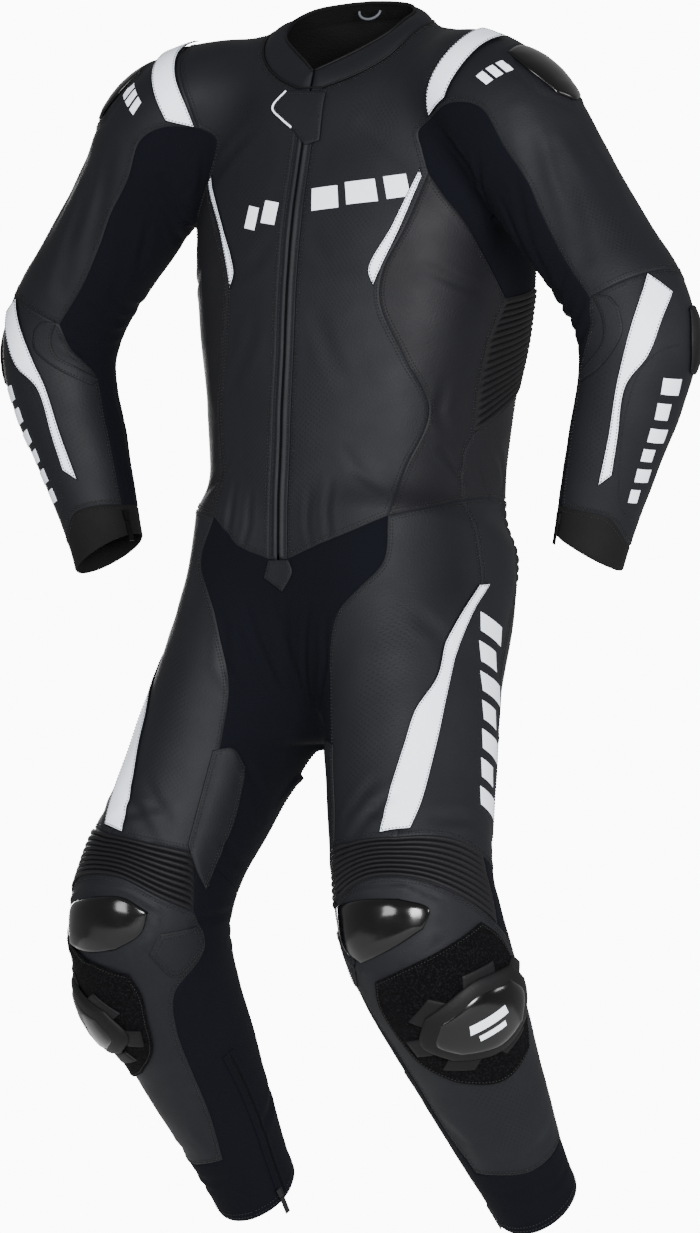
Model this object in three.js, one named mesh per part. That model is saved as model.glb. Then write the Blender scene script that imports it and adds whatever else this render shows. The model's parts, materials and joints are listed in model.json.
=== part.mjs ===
// Leather race suit, filled out as if worn. Millimetres, +Z up, chest facing -Y, wearer's left at +X.
// The origin lies on the neck's axis, 53 mm above the foot of the collar at the throat.
import * as THREE from 'three';

// Driving dimensions
const WALL = 2;                 // leather and stretch textile
const SEAM_GAP = 0.3;           // between two sewn pieces
const CELL = 38;                // length of a facet along a plain panel
const ROUND = 28;               // length of a facet round a limb
const FINE = 19;                // length of a facet on an applied piece
const LIFT = 0.9;               // air under an applied piece
const FRONT_CURVE = 2.25;       // exponents of the torso's sections
const BACK_CURVE = 2.6;
const ARM_BLEND = 50;           // radius over which a sleeve runs into the body
const LEG_BLEND = 60;
const SEAT_FLOOR = -750;        // lowest point of the torso's own form
const COLLAR = { wall: 2.4, bulge: 3 };
const CUFF_END = { along: 727, wave: 11, lowest: 100 };
const HEM_END = { along: 801, wave: 7, lowest: 10 };
const TWIST = { upperArm: 14, forearm: 10, leg: 6 };   // degrees that the limbs are turned to the wearer's left
const RIBS = { side: 18, knee: 9, lumbar: 9, height: 2.2, margin: 0.07 };

const table = (names, rows) => rows.map((row) => {
  const keys = names.split(' ');
  return Object.fromEntries(keys.map((key, i) => [key, row[i]]));
});

// Torso sections about the neck's axis
const TORSO = table('z half front back', [
  [60, 60, 26, 48],
  [20, 82, 36, 60],
  [-15, 106, 57, 82],
  [-54, 140, 87, 110],
  [-112, 176, 100, 134],
  [-161, 187, 112, 148],
  [-197, 190, 119, 158],
  [-257, 187, 127, 164],
  [-319, 179, 131, 158],
  [-383, 168, 136, 144],
  [-427, 163, 139, 136],
  [-470, 159, 142, 133],
  [-513, 156, 144, 134],
  [-556, 154, 144, 136],
  [-600, 152, 140, 136],
  [-650, 144, 128, 128],
  [-700, 120, 100, 104],
  [-735, 70, 56, 64],
  [-752, 24, 20, 24],
]);

// Sections along the left sleeve: centre, half width to the outside, half depth to the front
const SLEEVE = table('x y z half depth', [
  [40, 10, -50, 44, 46],
  [110, 0, -42, 52, 54],
  [180, -22, -54, 62, 73],
  [232, -33, -91, 70, 74],
  [268, -28, -146, 69, 71],
  [303, -27, -194, 66, 68],
  [340, -27, -240, 62, 67],
  [372, -27, -285, 63, 66],
  [385, -27, -330, 63, 64],
  [376, -26, -380, 58, 59],
  [358, -25, -430, 52, 54],
  [341, -24, -480, 46, 48],
  [325, -23, -530, 41, 42],
  [315, -23, -562, 40, 41],
]);

// Sections along the left leg, bent at the knee as the suit is cut
const LEG = table('x y z half depth', [
  [86, -6, -540, 76, 120],
  [94, -24, -605, 80, 116],
  [105, -44, -660, 84, 112],
  [117, -62, -715, 85, 107],
  [131, -81, -770, 84, 101],
  [145, -100, -820, 82, 95],
  [159, -119, -865, 82, 89],
  [170, -131, -905, 84, 88],
  [180, -132, -945, 86, 89],
  [186, -114, -990, 84, 85],
  [187, -85, -1035, 78, 78],
  [186, -52, -1080, 71, 71],
  [186, -21, -1125, 64, 64],
  [186, 12, -1170, 57, 57],
  [187, 46, -1215, 50, 51],
  [188, 82, -1262, 45, 47],
]);

// Places on the neck seam and on the collar's top edge, from the throat round the wearer's left to the back
const NECK = table('x y z', [
  [46, -73, -41],
  [71, -58, -29],
  [87, -45, -16],
  [96, -29, -2],
  [99, -12, 12],
  [92, 12, 20],
  [60, 45, 26],
  [0, 56, 28],
]);
const NECK_SIDE = 4;            // row of the table where the shoulder seam starts
const COLLAR_TOP = table('x y z', [
  [1.5, -79, -31],
  [25, -63, -18],
  [43, -53, -8],
  [68, -37, 9],
  [76, -16, 25],
  [76, 0, 33],
  [64, 14, 41],
  [35, 24, 46],
  [0, 28, 48],
]);

// Body surface: a signed field that is 0 on the outside of the leather
const DEG = Math.PI / 180;
const clamp = (v, low, high) => Math.min(Math.max(v, low), high);

function smoothRows(rows, steps) {
  const keys = Object.keys(rows[0]);
  const last = rows.length - 1;
  const row = (i) => {
    if (i < 0) return keys.map((k) => 2 * rows[0][k] - rows[1][k]);
    if (i > last) return keys.map((k) => 2 * rows[last][k] - rows[last - 1][k]);
    return keys.map((k) => rows[i][k]);
  };
  const out = [];
  for (let i = 0; i < last; i++) {
    const [a, b, c, d] = [row(i - 1), row(i), row(i + 1), row(i + 2)];
    for (let n = 0; n < steps; n++) {
      const t = n / steps;
      out.push(b.map((_, k) => 0.5 * (2 * b[k] + (c[k] - a[k]) * t
        + (2 * a[k] - 5 * b[k] + 4 * c[k] - d[k]) * t * t
        + (3 * b[k] - a[k] - 3 * c[k] + d[k]) * t ** 3)));
    }
  }
  out.push(row(last));
  return out;
}

const torsoRows = smoothRows(TORSO, 8);

function torsoSection(z) {
  const last = torsoRows.length - 1;
  if (z >= torsoRows[0][0]) return torsoRows[0];
  if (z <= torsoRows[last][0]) return torsoRows[last];
  let i = 0;
  while (torsoRows[i + 1][0] > z) i++;
  const t = (torsoRows[i][0] - z) / (torsoRows[i][0] - torsoRows[i + 1][0]);
  return torsoRows[i].map((v, k) => v + (torsoRows[i + 1][k] - v) * t);
}

function torsoRaw(x, y, z) {
  const [, half, front, back] = torsoSection(z);
  const depth = y < 0 ? front : back;
  const curve = y < 0 ? FRONT_CURVE : BACK_CURVE;
  const r = ((Math.abs(x) / half) ** curve + (Math.abs(y) / depth) ** curve) ** (1 / curve) + 1e-9;
  return Math.max(Math.hypot(x, y) * (1 - 1 / r), SEAT_FLOOR - z);
}

function torsoField(p) {
  const f = torsoRaw(p.x, p.y, p.z);
  const slope = (torsoRaw(p.x, p.y, p.z + 4) - f) / 4;
  return f / Math.sqrt(1 + slope * slope);
}

class Limb {
  constructor(rows) {
    const fine = smoothRows(rows, 6);
    const n = fine.length;
    this.centres = fine.map((r) => new THREE.Vector3(r[0], r[1], r[2]));
    this.sizes = fine.map((r) => [r[3], r[4]]);
    this.along = [0];
    for (let i = 1; i < n; i++) {
      this.along.push(this.along[i - 1] + this.centres[i].distanceTo(this.centres[i - 1]));
    }
    this.length = this.along[n - 1];
    this.front = [];
    this.outer = [];
    for (let i = 0; i < n; i++) {
      const a = this.centres[Math.max(i - 1, 0)];
      const b = this.centres[Math.min(i + 1, n - 1)];
      const tangent = b.clone().sub(a).normalize();
      const front = new THREE.Vector3(0, -1, 0);
      front.addScaledVector(tangent, -front.dot(tangent)).normalize();
      this.front.push(front);
      this.outer.push(front.clone().cross(tangent));
    }
  }

  nearest(p) {
    let best = 0;
    let least = Infinity;
    for (let i = 0; i < this.centres.length; i++) {
      const d = p.distanceToSquared(this.centres[i]);
      if (d < least) { least = d; best = i; }
    }
    const i = clamp(best, 1, this.centres.length - 2);
    const d = [-1, 0, 1].map((k) => p.distanceToSquared(this.centres[i + k]));
    const s = [-1, 0, 1].map((k) => this.along[i + k]);
    const den = (s[0] - s[1]) * (s[0] - s[2]) * (s[1] - s[2]);
    const a = (s[2] * (d[1] - d[0]) + s[1] * (d[0] - d[2]) + s[0] * (d[2] - d[1])) / den;
    const b = (s[2] ** 2 * (d[0] - d[1]) + s[1] ** 2 * (d[2] - d[0]) + s[0] ** 2 * (d[1] - d[2])) / den;
    const foot = Math.abs(a) > 1e-12 ? -b / (2 * a) : s[1];
    return clamp(foot, s[0], s[2]);
  }

  frame(along) {
    const s = clamp(along, 0, this.length);
    let i = 0;
    while (i < this.along.length - 2 && this.along[i + 1] < s) i++;
    const t = (s - this.along[i]) / (this.along[i + 1] - this.along[i]);
    return {
      centre: this.centres[i].clone().lerp(this.centres[i + 1], t),
      front: this.front[i].clone().lerp(this.front[i + 1], t).normalize(),
      outer: this.outer[i].clone().lerp(this.outer[i + 1], t).normalize(),
      half: this.sizes[i][0] + (this.sizes[i + 1][0] - this.sizes[i][0]) * t,
      depth: this.sizes[i][1] + (this.sizes[i + 1][1] - this.sizes[i][1]) * t,
    };
  }

  field(q) {
    const f = this.frame(this.nearest(q));
    const v = q.clone().sub(f.centre);
    const a = v.dot(f.outer);
    const b = v.dot(f.front);
    const r = Math.hypot(a / f.half, b / f.depth) + 1e-9;
    const side = Math.hypot(a, b) * (1 - 1 / r);
    const past = v.dot(f.outer.clone().cross(f.front));
    if (Math.abs(past) <= 3) return side;
    return Math.hypot(Math.max(side, 0), past);
  }
}

const sleeve = new Limb(SLEEVE);
const leg = new Limb(LEG);

function blend(a, b, radius) {
  const h = Math.max(radius - Math.abs(a - b), 0) / radius;
  return Math.min(a, b) - h * h * radius / 4;
}

function bodyField(p) {
  let f = torsoField(p);
  for (const side of [1, -1]) {
    if (p.x * side <= -60) continue;
    const q = new THREE.Vector3(p.x * side, p.y, p.z);
    if (p.z > -640) f = blend(f, sleeve.field(q), ARM_BLEND);
    if (p.z < -380) f = blend(f, leg.field(q), LEG_BLEND);
  }
  return f;
}

function bodyNormal(p) {
  const h = 1.5;
  const g = new THREE.Vector3();
  for (const axis of ['x', 'y', 'z']) {
    const a = p.clone();
    const b = p.clone();
    a[axis] += h;
    b[axis] -= h;
    g[axis] = (bodyField(a) - bodyField(b)) / (2 * h);
  }
  const slope = g.length();
  return { normal: g.divideScalar(slope + 1e-12), slope };
}

function ontoBody(p, steps = 4) {
  const q = p.clone();
  for (let i = 0; i < steps; i++) {
    const { normal, slope } = bodyNormal(q);
    q.addScaledVector(normal, -clamp(bodyField(q) / Math.max(slope, 0.3), -25, 25));
    if (Math.abs(p.x) < 0.01) q.x = 0;
  }
  return q;
}

function firstExit(start, direction) {
  const step = 4;
  let t = 0;
  const at = (d) => bodyField(start.clone().addScaledVector(direction, d));
  while (t < 320 && at(t) >= 0) t += step;
  while (t < 320 && at(t + step) < 0) t += step;
  let [low, high] = [t, t + step];
  for (let i = 0; i < 12; i++) {
    const mid = (low + high) / 2;
    if (at(mid) < 0) low = mid;
    else high = mid;
  }
  return start.clone().addScaledVector(direction, (low + high) / 2);
}

// A seam: a smooth line through places on the surface, cut into equal steps
function line(places, cell = CELL, project = true) {
  const smooth = places.length > 2
    ? new THREE.CatmullRomCurve3(places, false, 'centripetal').getSpacedPoints(places.length * 8)
    : [0, 0.25, 0.5, 0.75, 1].map((t) => places[0].clone().lerp(places[1], t));
  const fine = project ? smooth.map((p) => ontoBody(p)) : smooth;
  fine[0] = places[0];
  fine[fine.length - 1] = places[places.length - 1];
  return resample(fine, Math.max(1, Math.round(pathLength(fine) / cell)), project);
}

function pathLength(points) {
  let sum = 0;
  for (let i = 1; i < points.length; i++) sum += points[i].distanceTo(points[i - 1]);
  return sum;
}

function walk(points, fraction) {
  const goal = pathLength(points) * fraction;
  let sum = 0;
  for (let i = 1; i < points.length; i++) {
    const d = points[i].distanceTo(points[i - 1]);
    if (sum + d >= goal || i === points.length - 1) {
      return points[i - 1].clone().lerp(points[i], d > 0 ? clamp((goal - sum) / d, 0, 1) : 0);
    }
    sum += d;
  }
  return points[0].clone();
}

function resample(points, count, project) {
  const out = [];
  for (let i = 0; i <= count; i++) out.push(walk(points, i / count));
  return out.map((p, i) => (project && i > 0 && i < count ? ontoBody(p) : p));
}

const joined = (...parts) => parts.reduce((all, part) => all.concat(all.length ? part.slice(1) : part), []);
const back = (points) => points.slice().reverse();

// Seams of one half, side 1 for the wearer's left and -1 for the right, named by what they join.
// A turn is 0 at the front, 90 outside, 180 at the back and -90 inside. The suit hangs slightly turned,
// so some places on the body have one turn for each half.
function seamsOf(side) {
  const onSide = (p) => new THREE.Vector3(p.x * side, p.y, p.z);
  const T = (z, left, right = left) => {
    const a = (side > 0 ? left : right) * DEG;
    return onSide(firstExit(new THREE.Vector3(0, 0, z), new THREE.Vector3(Math.sin(a), -Math.cos(a), 0)));
  };
  const onLimb = (limb, twist) => (along, turn) => {
    const f = limb.frame(along);
    const a = (turn + side * twist(along)) * DEG;
    const direction = f.front.multiplyScalar(Math.cos(a)).addScaledVector(f.outer, Math.sin(a));
    return onSide(firstExit(f.centre, direction.normalize()));
  };
  const A = onLimb(sleeve, (s) => TWIST.upperArm * clamp((s - 150) / 70, 0, 1)
    + TWIST.forearm * clamp((s - 450) / 230, 0, 1));
  const L = onLimb(leg, (s) => TWIST.leg * clamp((s - 120) / 80, 0, 1));
  const P = (x, y, z) => onSide(ontoBody(new THREE.Vector3(x, y, z), 8));
  const seam = { A, L, T };

  // Body
  const throat = T(-53, 0);
  const collarFront = T(-52, 8);
  const zipChest = T(-150, 6.2);
  const neck = NECK.map((row) => P(row.x, row.y, row.z));
  const neckSide = neck[NECK_SIDE];
  const shoulderTip = A(148, 100);
  const chestPoint = A(152, -35);
  const stripePoint = T(-145, 63.5);
  const ribTop = T(-277, 95);
  const ribTopMid = T(-271, 108);
  const ribTopBack = T(-262, 122);
  const ribFoot = T(-422, 86);
  const ribFootBack = T(-365, 125);
  const backArmhole = A(150, 215);
  const hipFront = T(-510, 47, 33);
  const hipSide = T(-493, 80);
  const hipBack = T(-490, 111);
  const seatSide = T(-580, 118);
  const zipFoot = T(-557, 0);
  const zipSide = T(-556, 4.8);
  const spine = (z) => T(z, 180);
  seam.throat = line([throat, collarFront]);
  seam.zipCentre = line([throat, T(-150, 0), T(-250, 0), T(-350, 0), T(-465, 0), zipFoot]);
  seam.zipChest = line([collarFront, T(-100, 6.8), zipChest]);
  seam.zipEdge = line([zipChest, T(-225, 5.5), T(-340, 5), T(-465, 4.8), zipSide]);
  seam.zipFoot = line([zipSide, zipFoot]);
  seam.neckFront = line([collarFront, ...neck.slice(0, NECK_SIDE + 1)], FINE);
  seam.neckBack = line(neck.slice(NECK_SIDE), FINE);
  seam.shoulder = line([neckSide, P(150, 2, 12), shoulderTip]);
  seam.yokeFront = line([shoulderTip, A(144, 60), A(147, 20), A(148, -15), chestPoint], ROUND);
  seam.yokeBack = line([shoulderTip, A(146, 150), A(148, 185), backArmhole], ROUND);
  seam.chest = line([stripePoint, T(-150, 45), T(-151, 25), zipChest]);
  seam.gussetTop = line([chestPoint, T(-101, 61), T(-120, 62), stripePoint]);
  seam.gussetFoot = line([stripePoint, T(-170, 68), T(-200, 75), T(-240, 84), ribTop]);
  seam.gussetSide = line([ribTop, ribTopMid]);
  seam.gussetRear = line([ribTopMid, ribTopBack]);
  seam.gussetBack = line([ribTopBack, T(-215, 126), T(-165, 128), backArmhole]);
  seam.sideFront = line([stripePoint, T(-200, 55, 48), T(-250, 46, 38), T(-284, 45, 37), T(-341, 54, 38),
    T(-398, 64, 40), T(-459, 55, 36), hipFront]);
  seam.ribFront = line([ribTop, T(-326, 88), T(-378, 86), ribFoot]);
  seam.sideEdge = line([ribFoot, T(-440, 82), hipSide]);
  seam.ribFoot = line([ribFoot, T(-392, 106), ribFootBack]);
  seam.ribBack = line([ribTopBack, T(-315, 125), ribFootBack]);
  seam.sideBack = line([ribFootBack, T(-430, 120), hipBack]);
  seam.waistFront = line([zipSide, T(-541, 20), T(-526, 34, 26), hipFront]);
  seam.waistSide = line([hipFront, T(-500, 64, 56), hipSide]);
  seam.waistBack = line([hipSide, T(-490, 95), hipBack]);
  seam.backCentre = line([neck[neck.length - 1], spine(-60), spine(-140), spine(-260), spine(-400), spine(-496)]);
  seam.lumbarTop = line([hipBack, T(-494, 145), spine(-496)]);
  seam.lumbarSide = line([hipBack, T(-535, 115), seatSide]);
  seam.lumbarFoot = line([seatSide, T(-584, 150), spine(-586)]);
  seam.lumbarCentre = line([spine(-496), spine(-586)]);

  // Sleeve
  const armpit = 335;
  const elbow = 448;
  const cuff = 684;
  const underarm = (along) => A(along, -92 - 22 * clamp((along - armpit) / (cuff - armpit), 0, 1));
  const sleeveFrontMid = A(armpit, -10);
  const sleeveBackMid = A(armpit, 195);
  const crook = A(elbow, -16);
  const elbowSide = A(elbow, 86);
  const elbowBack = A(elbow, 190);
  const cuffFront = A(cuff, -52);
  const cuffSide = A(cuff + 18, 66);
  const cuffBack = A(cuff + 14, 200);
  seam.sleeveFront = line([chestPoint, A(185, -14), A(210, -3), A(250, -6), A(300, -5), sleeveFrontMid]);
  seam.sleeveFrontLow = line([sleeveFrontMid, A(390, -17), crook]);
  seam.forearmFront = line([crook, A(485, -34), A(535, -58), A(600, -56), cuffFront]);
  seam.sleeveBack = line([backArmhole, A(210, 206), A(270, 200), sleeveBackMid]);
  seam.sleeveBackLow = line([sleeveBackMid, A(390, 192), elbowBack]);
  seam.forearmBack = line([elbowBack, A(560, 195), cuffBack]);
  seam.sleeveRidge = line([shoulderTip, A(230, 92), A(340, 86), elbowSide]);
  seam.elbowFront = line([crook, A(elbow, 20), A(elbow, 55), elbowSide], ROUND);
  seam.elbowBack = line([elbowSide, A(elbow, 120), A(elbow, 160), elbowBack], ROUND);
  seam.forearmRidge = line([elbowSide, A(560, 78), cuffSide]);
  seam.cuffFront = line([cuffFront, A(680, -15), A(680, 25), cuffSide], ROUND);
  seam.cuffBack = line([cuffSide, A(712, 110), A(706, 155), cuffBack], ROUND);
  seam.cuffInside = line([cuffBack, A(692, 222), underarm(cuff)], ROUND);
  seam.cuffZip = line([underarm(cuff), A(cuff, -82), cuffFront], ROUND);
  seam.underarm = line([underarm(armpit), underarm(400), underarm(480), underarm(580), underarm(cuff)]);
  seam.armpitFront = line([sleeveFrontMid, A(armpit, -50), underarm(armpit)], ROUND);
  seam.armpitBack = line([underarm(armpit), A(armpit, 230), sleeveBackMid], ROUND);
  seam.armpit = line([ribTopMid, P(206, 10, -240), P(232, 0, -222), underarm(armpit)]);
  const cuffEdge = (turn) => A(endOf(CUFF_END, turn), turn);
  seam.cuffEdgeFront = line([cuffEdge(-52), cuffEdge(-15), cuffEdge(25), cuffEdge(66)], ROUND);
  seam.cuffEdgeBack = line([cuffEdge(66), cuffEdge(110), cuffEdge(155), cuffEdge(200)], ROUND);
  seam.cuffEdgeInside = line([cuffEdge(200), cuffEdge(222), cuffEdge(246)], ROUND);
  seam.cuffEdgeZip = line([cuffEdge(246), cuffEdge(278), cuffEdge(308)], ROUND);
  seam.cuffRidge = line([cuffSide, cuffEdge(66)]);
  seam.cuffRear = line([cuffBack, cuffEdge(200)]);
  seam.cuffUnder = line([underarm(cuff), cuffEdge(246)]);
  seam.cuffSlit = line([cuffFront, cuffEdge(-52)]);

  // Leg
  const kneeInner = L(356, -46);
  const kneeFront = L(371, 21);
  const kneeOuter = L(376, 96);
  const kneeSide = L(380, 140);
  const kneeBack = L(378, 215);
  const crotch = P(0, 20, -760);
  const shinInner = L(408, -62);
  const shinOuter = L(455, 95);
  const ankleInner = L(716, -18);
  const ankleOuter = L(731, 120);
  const calfFoot = L(725, 208);
  const hem = (turn) => L(endOf(HEM_END, turn), turn);
  seam.crotchFront = line([hipFront, T(-558, 45, 38), T(-588, 36, 32), T(-612, 29, 28), L(140, -14), L(180, -23),
    L(235, -29), L(300, -38), kneeInner]);
  seam.crotchCentre = line([zipFoot, T(-610, 0), T(-660, 0), P(0, -96, -710), P(0, -50, -760), crotch]);
  seam.thighBack = line([crotch, L(250, 232), L(310, 222), kneeBack]);
  seam.seatCentre = line([spine(-586), spine(-640), P(0, 90, -710), crotch]);
  seam.thighStripe = line([hipSide, T(-545, 84), T(-585, 84), L(110, 79), L(154, 62), L(202, 51), L(240, 40),
    L(300, 33), kneeFront]);
  seam.seatEdge = line([seatSide, L(150, 130), L(260, 137), kneeSide]);
  seam.kneeTopInner = line([kneeInner, L(366, -12), kneeFront], ROUND);
  seam.kneeTopOuter = line([kneeFront, L(369, 62), kneeOuter], ROUND);
  seam.kneeTopSide = line([kneeOuter, kneeSide], ROUND);
  seam.kneeTopBack = line([kneeSide, L(381, 180), kneeBack], ROUND);
  seam.kneeTopInside = line([kneeBack, L(368, 265), kneeInner], ROUND);
  seam.kneeEdgeInner = line([kneeInner, shinInner]);
  seam.kneeEdgeOuter = line([kneeOuter, shinOuter]);
  seam.kneeFoot = line([shinInner, L(404, -35), L(398, 0), L(407, 36), L(424, 66), shinOuter], ROUND);
  seam.shinInner = line([shinInner, L(446, -76), L(487, -44), L(530, -33), L(654, -27), ankleInner]);
  seam.shinOuter = line([shinOuter, L(500, 120), L(600, 125), ankleOuter]);
  seam.shinFoot = line([ankleInner, L(721, 12), L(730, 42), L(732, 82), ankleOuter], ROUND);
  seam.calf = line([kneeBack, L(480, 212), L(600, 210), calfFoot]);
  seam.calfFootInner = line([calfFoot, L(720, 265), ankleInner], ROUND);
  seam.calfFootOuter = line([ankleOuter, L(729, 165), calfFoot], ROUND);
  seam.hemFront = line([hem(-18), hem(25), hem(75), hem(120)], ROUND);
  seam.hemOuter = line([hem(120), hem(165), hem(208)], ROUND);
  seam.hemInner = line([hem(208), hem(265), hem(342)], ROUND);
  seam.ankleInner = line([ankleInner, hem(-18)]);
  seam.ankleOuter = line([ankleOuter, hem(120)]);
  seam.ankleBack = line([calfFoot, hem(208)]);
  return seam;
}
const endOf = (end, turn) => end.along + end.wave * Math.cos((turn - end.lowest) * DEG);

// Triangles of one four-sided patch: a Coons surface laid on the body, joined to its seams' own points
function patch(sides, options = {}) {
  const place = options.free ? (p) => p : (p) => ontoBody(p, 5);
  const [bottom, right, top, left] = sides;
  const steps = (one, other) => Math.max(2, Math.round((one.length + other.length) / 2 - 1));
  const columns = options.columns ?? steps(bottom, top);
  const rows = options.rows ?? steps(left, right);
  const [c0, c1, c2, c3] = [bottom[0], right[0], top[0], left[0]];
  const margin = options.margin ?? 1 / columns;
  const across01 = (i) => margin + (1 - 2 * margin) * (i - 1) / Math.max(columns - 2, 1);
  const points = [];
  const lifts = [];
  const grid = [];
  for (let j = 1; j < rows; j++) {
    grid[j] = [];
    for (let i = 1; i < columns; i++) {
      const [u, v] = [columns > 2 ? across01(i) : 0.5, j / rows];
      const p = walk(bottom, u).multiplyScalar(1 - v)
        .addScaledVector(walk(top, 1 - u), v)
        .addScaledVector(walk(left, 1 - v), 1 - u)
        .addScaledVector(walk(right, v), u)
        .addScaledVector(c0, -(1 - u) * (1 - v))
        .addScaledVector(c1, -u * (1 - v))
        .addScaledVector(c2, -u * v)
        .addScaledVector(c3, -(1 - u) * v);
      grid[j][i] = points.length;
      points.push(place(p));
      lifts.push(options.lift ? options.lift(u, v, i, j) : 0);
    }
  }
  const faces = [];
  for (let j = 1; j < rows - 1; j++) {
    for (let i = 1; i < columns - 1; i++) {
      const [a, b, c, d] = [grid[j][i], grid[j][i + 1], grid[j + 1][i + 1], grid[j + 1][i]];
      const short = points[a].distanceTo(points[c]) < points[b].distanceTo(points[d]);
      faces.push(...(short ? [[a, b, c], [a, c, d]] : [[a, b, d], [b, c, d]]));
    }
  }
  const ring = [];
  for (let i = 1; i < columns; i++) ring.push([grid[1][i], i / columns]);
  for (let j = 1; j < rows; j++) ring.push([grid[j][columns - 1], 1 + j / rows]);
  for (let i = columns - 1; i > 0; i--) ring.push([grid[rows - 1][i], 2 + (columns - i) / columns]);
  for (let j = rows - 1; j > 0; j--) ring.push([grid[j][1], 3 + (rows - j) / rows]);
  ring.push([ring[0][0], 4 + 1 / columns]);
  const edge = [];
  sides.forEach((side, k) => {
    const whole = pathLength(side);
    for (let i = 0; i < side.length - 1; i++) {
      edge.push([points.length, k + pathLength(side.slice(0, i + 1)) / whole]);
      points.push(side[i]);
      lifts.push(0);
    }
  });
  edge.push([edge[0][0], 4]);
  let [i, j] = [0, 0];
  while (i < edge.length - 1 || j < ring.length - 1) {
    const stepEdge = j === ring.length - 1
      || (i < edge.length - 1 && edge[i + 1][1] <= (ring[j][1] + ring[j + 1][1]) / 2 + 1e-9);
    if (stepEdge) {
      faces.push([edge[i][0], edge[i + 1][0], ring[j][0]]);
      i++;
    } else {
      if (ring[j][0] !== ring[j + 1][0]) faces.push([edge[i][0], ring[j + 1][0], ring[j][0]]);
      j++;
    }
  }
  return { points, lifts, faces };
}

// A closed wall from patches that share seams: points drawn in by half the seam gap, then given thickness
function wall(patches, options = {}) {
  const top = options.top ?? 0;
  const bottom = options.bottom ?? -WALL;
  const key = (p) => [p.x, p.y, p.z].map((v) => Math.round(v * 200)).join();
  const index = new Map();
  const points = [];
  const lifts = [];
  const groups = [];
  for (const part of patches) {
    const ids = part.points.map((p, i) => {
      const k = key(p);
      if (!index.has(k)) {
        index.set(k, points.length);
        points.push(p.clone());
        lifts.push(part.lifts[i]);
      }
      return index.get(k);
    });
    groups.push(part.faces.map((f) => f.map((i) => ids[i])));
  }
  const normals = options.normals ? options.normals(points) : points.map((p) => bodyNormal(p).normal);
  const faces = [];
  for (const group of groups) {
    let facing = 0;
    const kept = group.filter(([a, b, c]) => a !== b && b !== c && c !== a);
    for (const [a, b, c] of kept) {
      const n = points[b].clone().sub(points[a]).cross(points[c].clone().sub(points[a]));
      facing += n.dot(normals[a]);
    }
    faces.push(...(facing < 0 ? kept.map((f) => f.slice().reverse()) : kept));
  }
  const edges = new Map();
  for (const [a, b, c] of faces) {
    for (const [m, n] of [[a, b], [b, c], [c, a]]) {
      if (edges.has(`${n},${m}`)) edges.delete(`${n},${m}`);
      else edges.set(`${m},${n}`, [m, n]);
    }
  }
  const pull = new Map();
  for (const [m, n] of edges.values()) {
    const along = points[n].clone().sub(points[m]).normalize();
    for (const v of [m, n]) {
      const inward = normals[v].clone().cross(along).normalize();
      if (!pull.has(v)) pull.set(v, []);
      pull.get(v).push(inward);
    }
  }
  const rank = points.map((p) => p.z + 0.3 * p.y + 0.1 * p.x);
  const half = options.inset ?? SEAM_GAP / 2;
  for (const [v, inwards] of pull) {
    const sum = inwards.reduce((a, b) => a.add(b), new THREE.Vector3()).normalize();
    const share = Math.max(sum.dot(inwards[1] ?? sum), 0.4);
    points[v].addScaledVector(sum, half / share);
  }
  const count = points.length;
  const positions = [];
  points.forEach((p, i) => positions.push(...p.clone().addScaledVector(normals[i], top + lifts[i])));
  points.forEach((p, i) => positions.push(...p.clone().addScaledVector(normals[i], bottom)));
  const triangles = [];
  for (const [a, b, c] of faces) triangles.push(a, b, c, a + count, c + count, b + count);
  for (const [m, n] of edges.values()) {
    if (rank[m] < rank[n]) triangles.push(n, m, m + count, n, m + count, n + count);
    else triangles.push(n, m, n + count, m, m + count, n + count);
  }
  const geometry = new THREE.BufferGeometry();
  geometry.setAttribute('position', new THREE.BufferAttribute(new Float32Array(positions), 3));
  geometry.setIndex(triangles);
  geometry.computeVertexNormals();
  return geometry;
}

// Finishes
const finish = (color, roughness, metalness = 0) => ({ color, roughness, metalness });
const LEATHER = finish(0x2c2d31, 0.55);
const STRETCH = finish(0x0d0e14, 0.9);
const WHITE = finish(0xe4e8f0, 0.5);
const GLOSS = finish(0x0a0a0c, 0.15);
const PILE = finish(0x121214, 1);
const METAL = finish(0x1c1c1e, 0.35, 0.8);

const suit = new THREE.Group();
const halves = { left: seamsOf(1), right: seamsOf(-1) };
function add(name, geometry, { color, roughness, metalness }) {
  const mesh = new THREE.Mesh(geometry, new THREE.MeshStandardMaterial({ color, roughness, metalness }));
  mesh.name = name;
  suit.add(mesh);
}
// A piece on each half, and a piece that runs across the middle
function addPair(name, patches, look, options = {}) {
  for (const [half, seam] of Object.entries(halves)) add(`${name}_${half}`, wall(patches(seam), options), look);
}
function addWhole(name, patches, look, options = {}) {
  add(name, wall([...patches(halves.left), ...patches(halves.right)], options), look);
}
const ribbed = (count) => ({
  rows: 2 * count + 1,
  margin: RIBS.margin,
  lift: (u, v, i, j) => (j % 2 ? RIBS.height : 0),
});

// Fronts and zip placket
addPair('front', (seam) => [
  patch([
    joined(seam.neckFront, seam.shoulder),
    joined(seam.yokeFront, seam.gussetTop),
    seam.chest,
    back(seam.zipChest),
  ]),
  patch([back(seam.chest), seam.sideFront, back(seam.waistFront), back(seam.zipEdge)]),
], LEATHER);
addWhole('zip_placket', (seam) => [
  patch([seam.throat, joined(seam.zipChest, seam.zipEdge), seam.zipFoot, back(seam.zipCentre)]),
], LEATHER);

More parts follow.
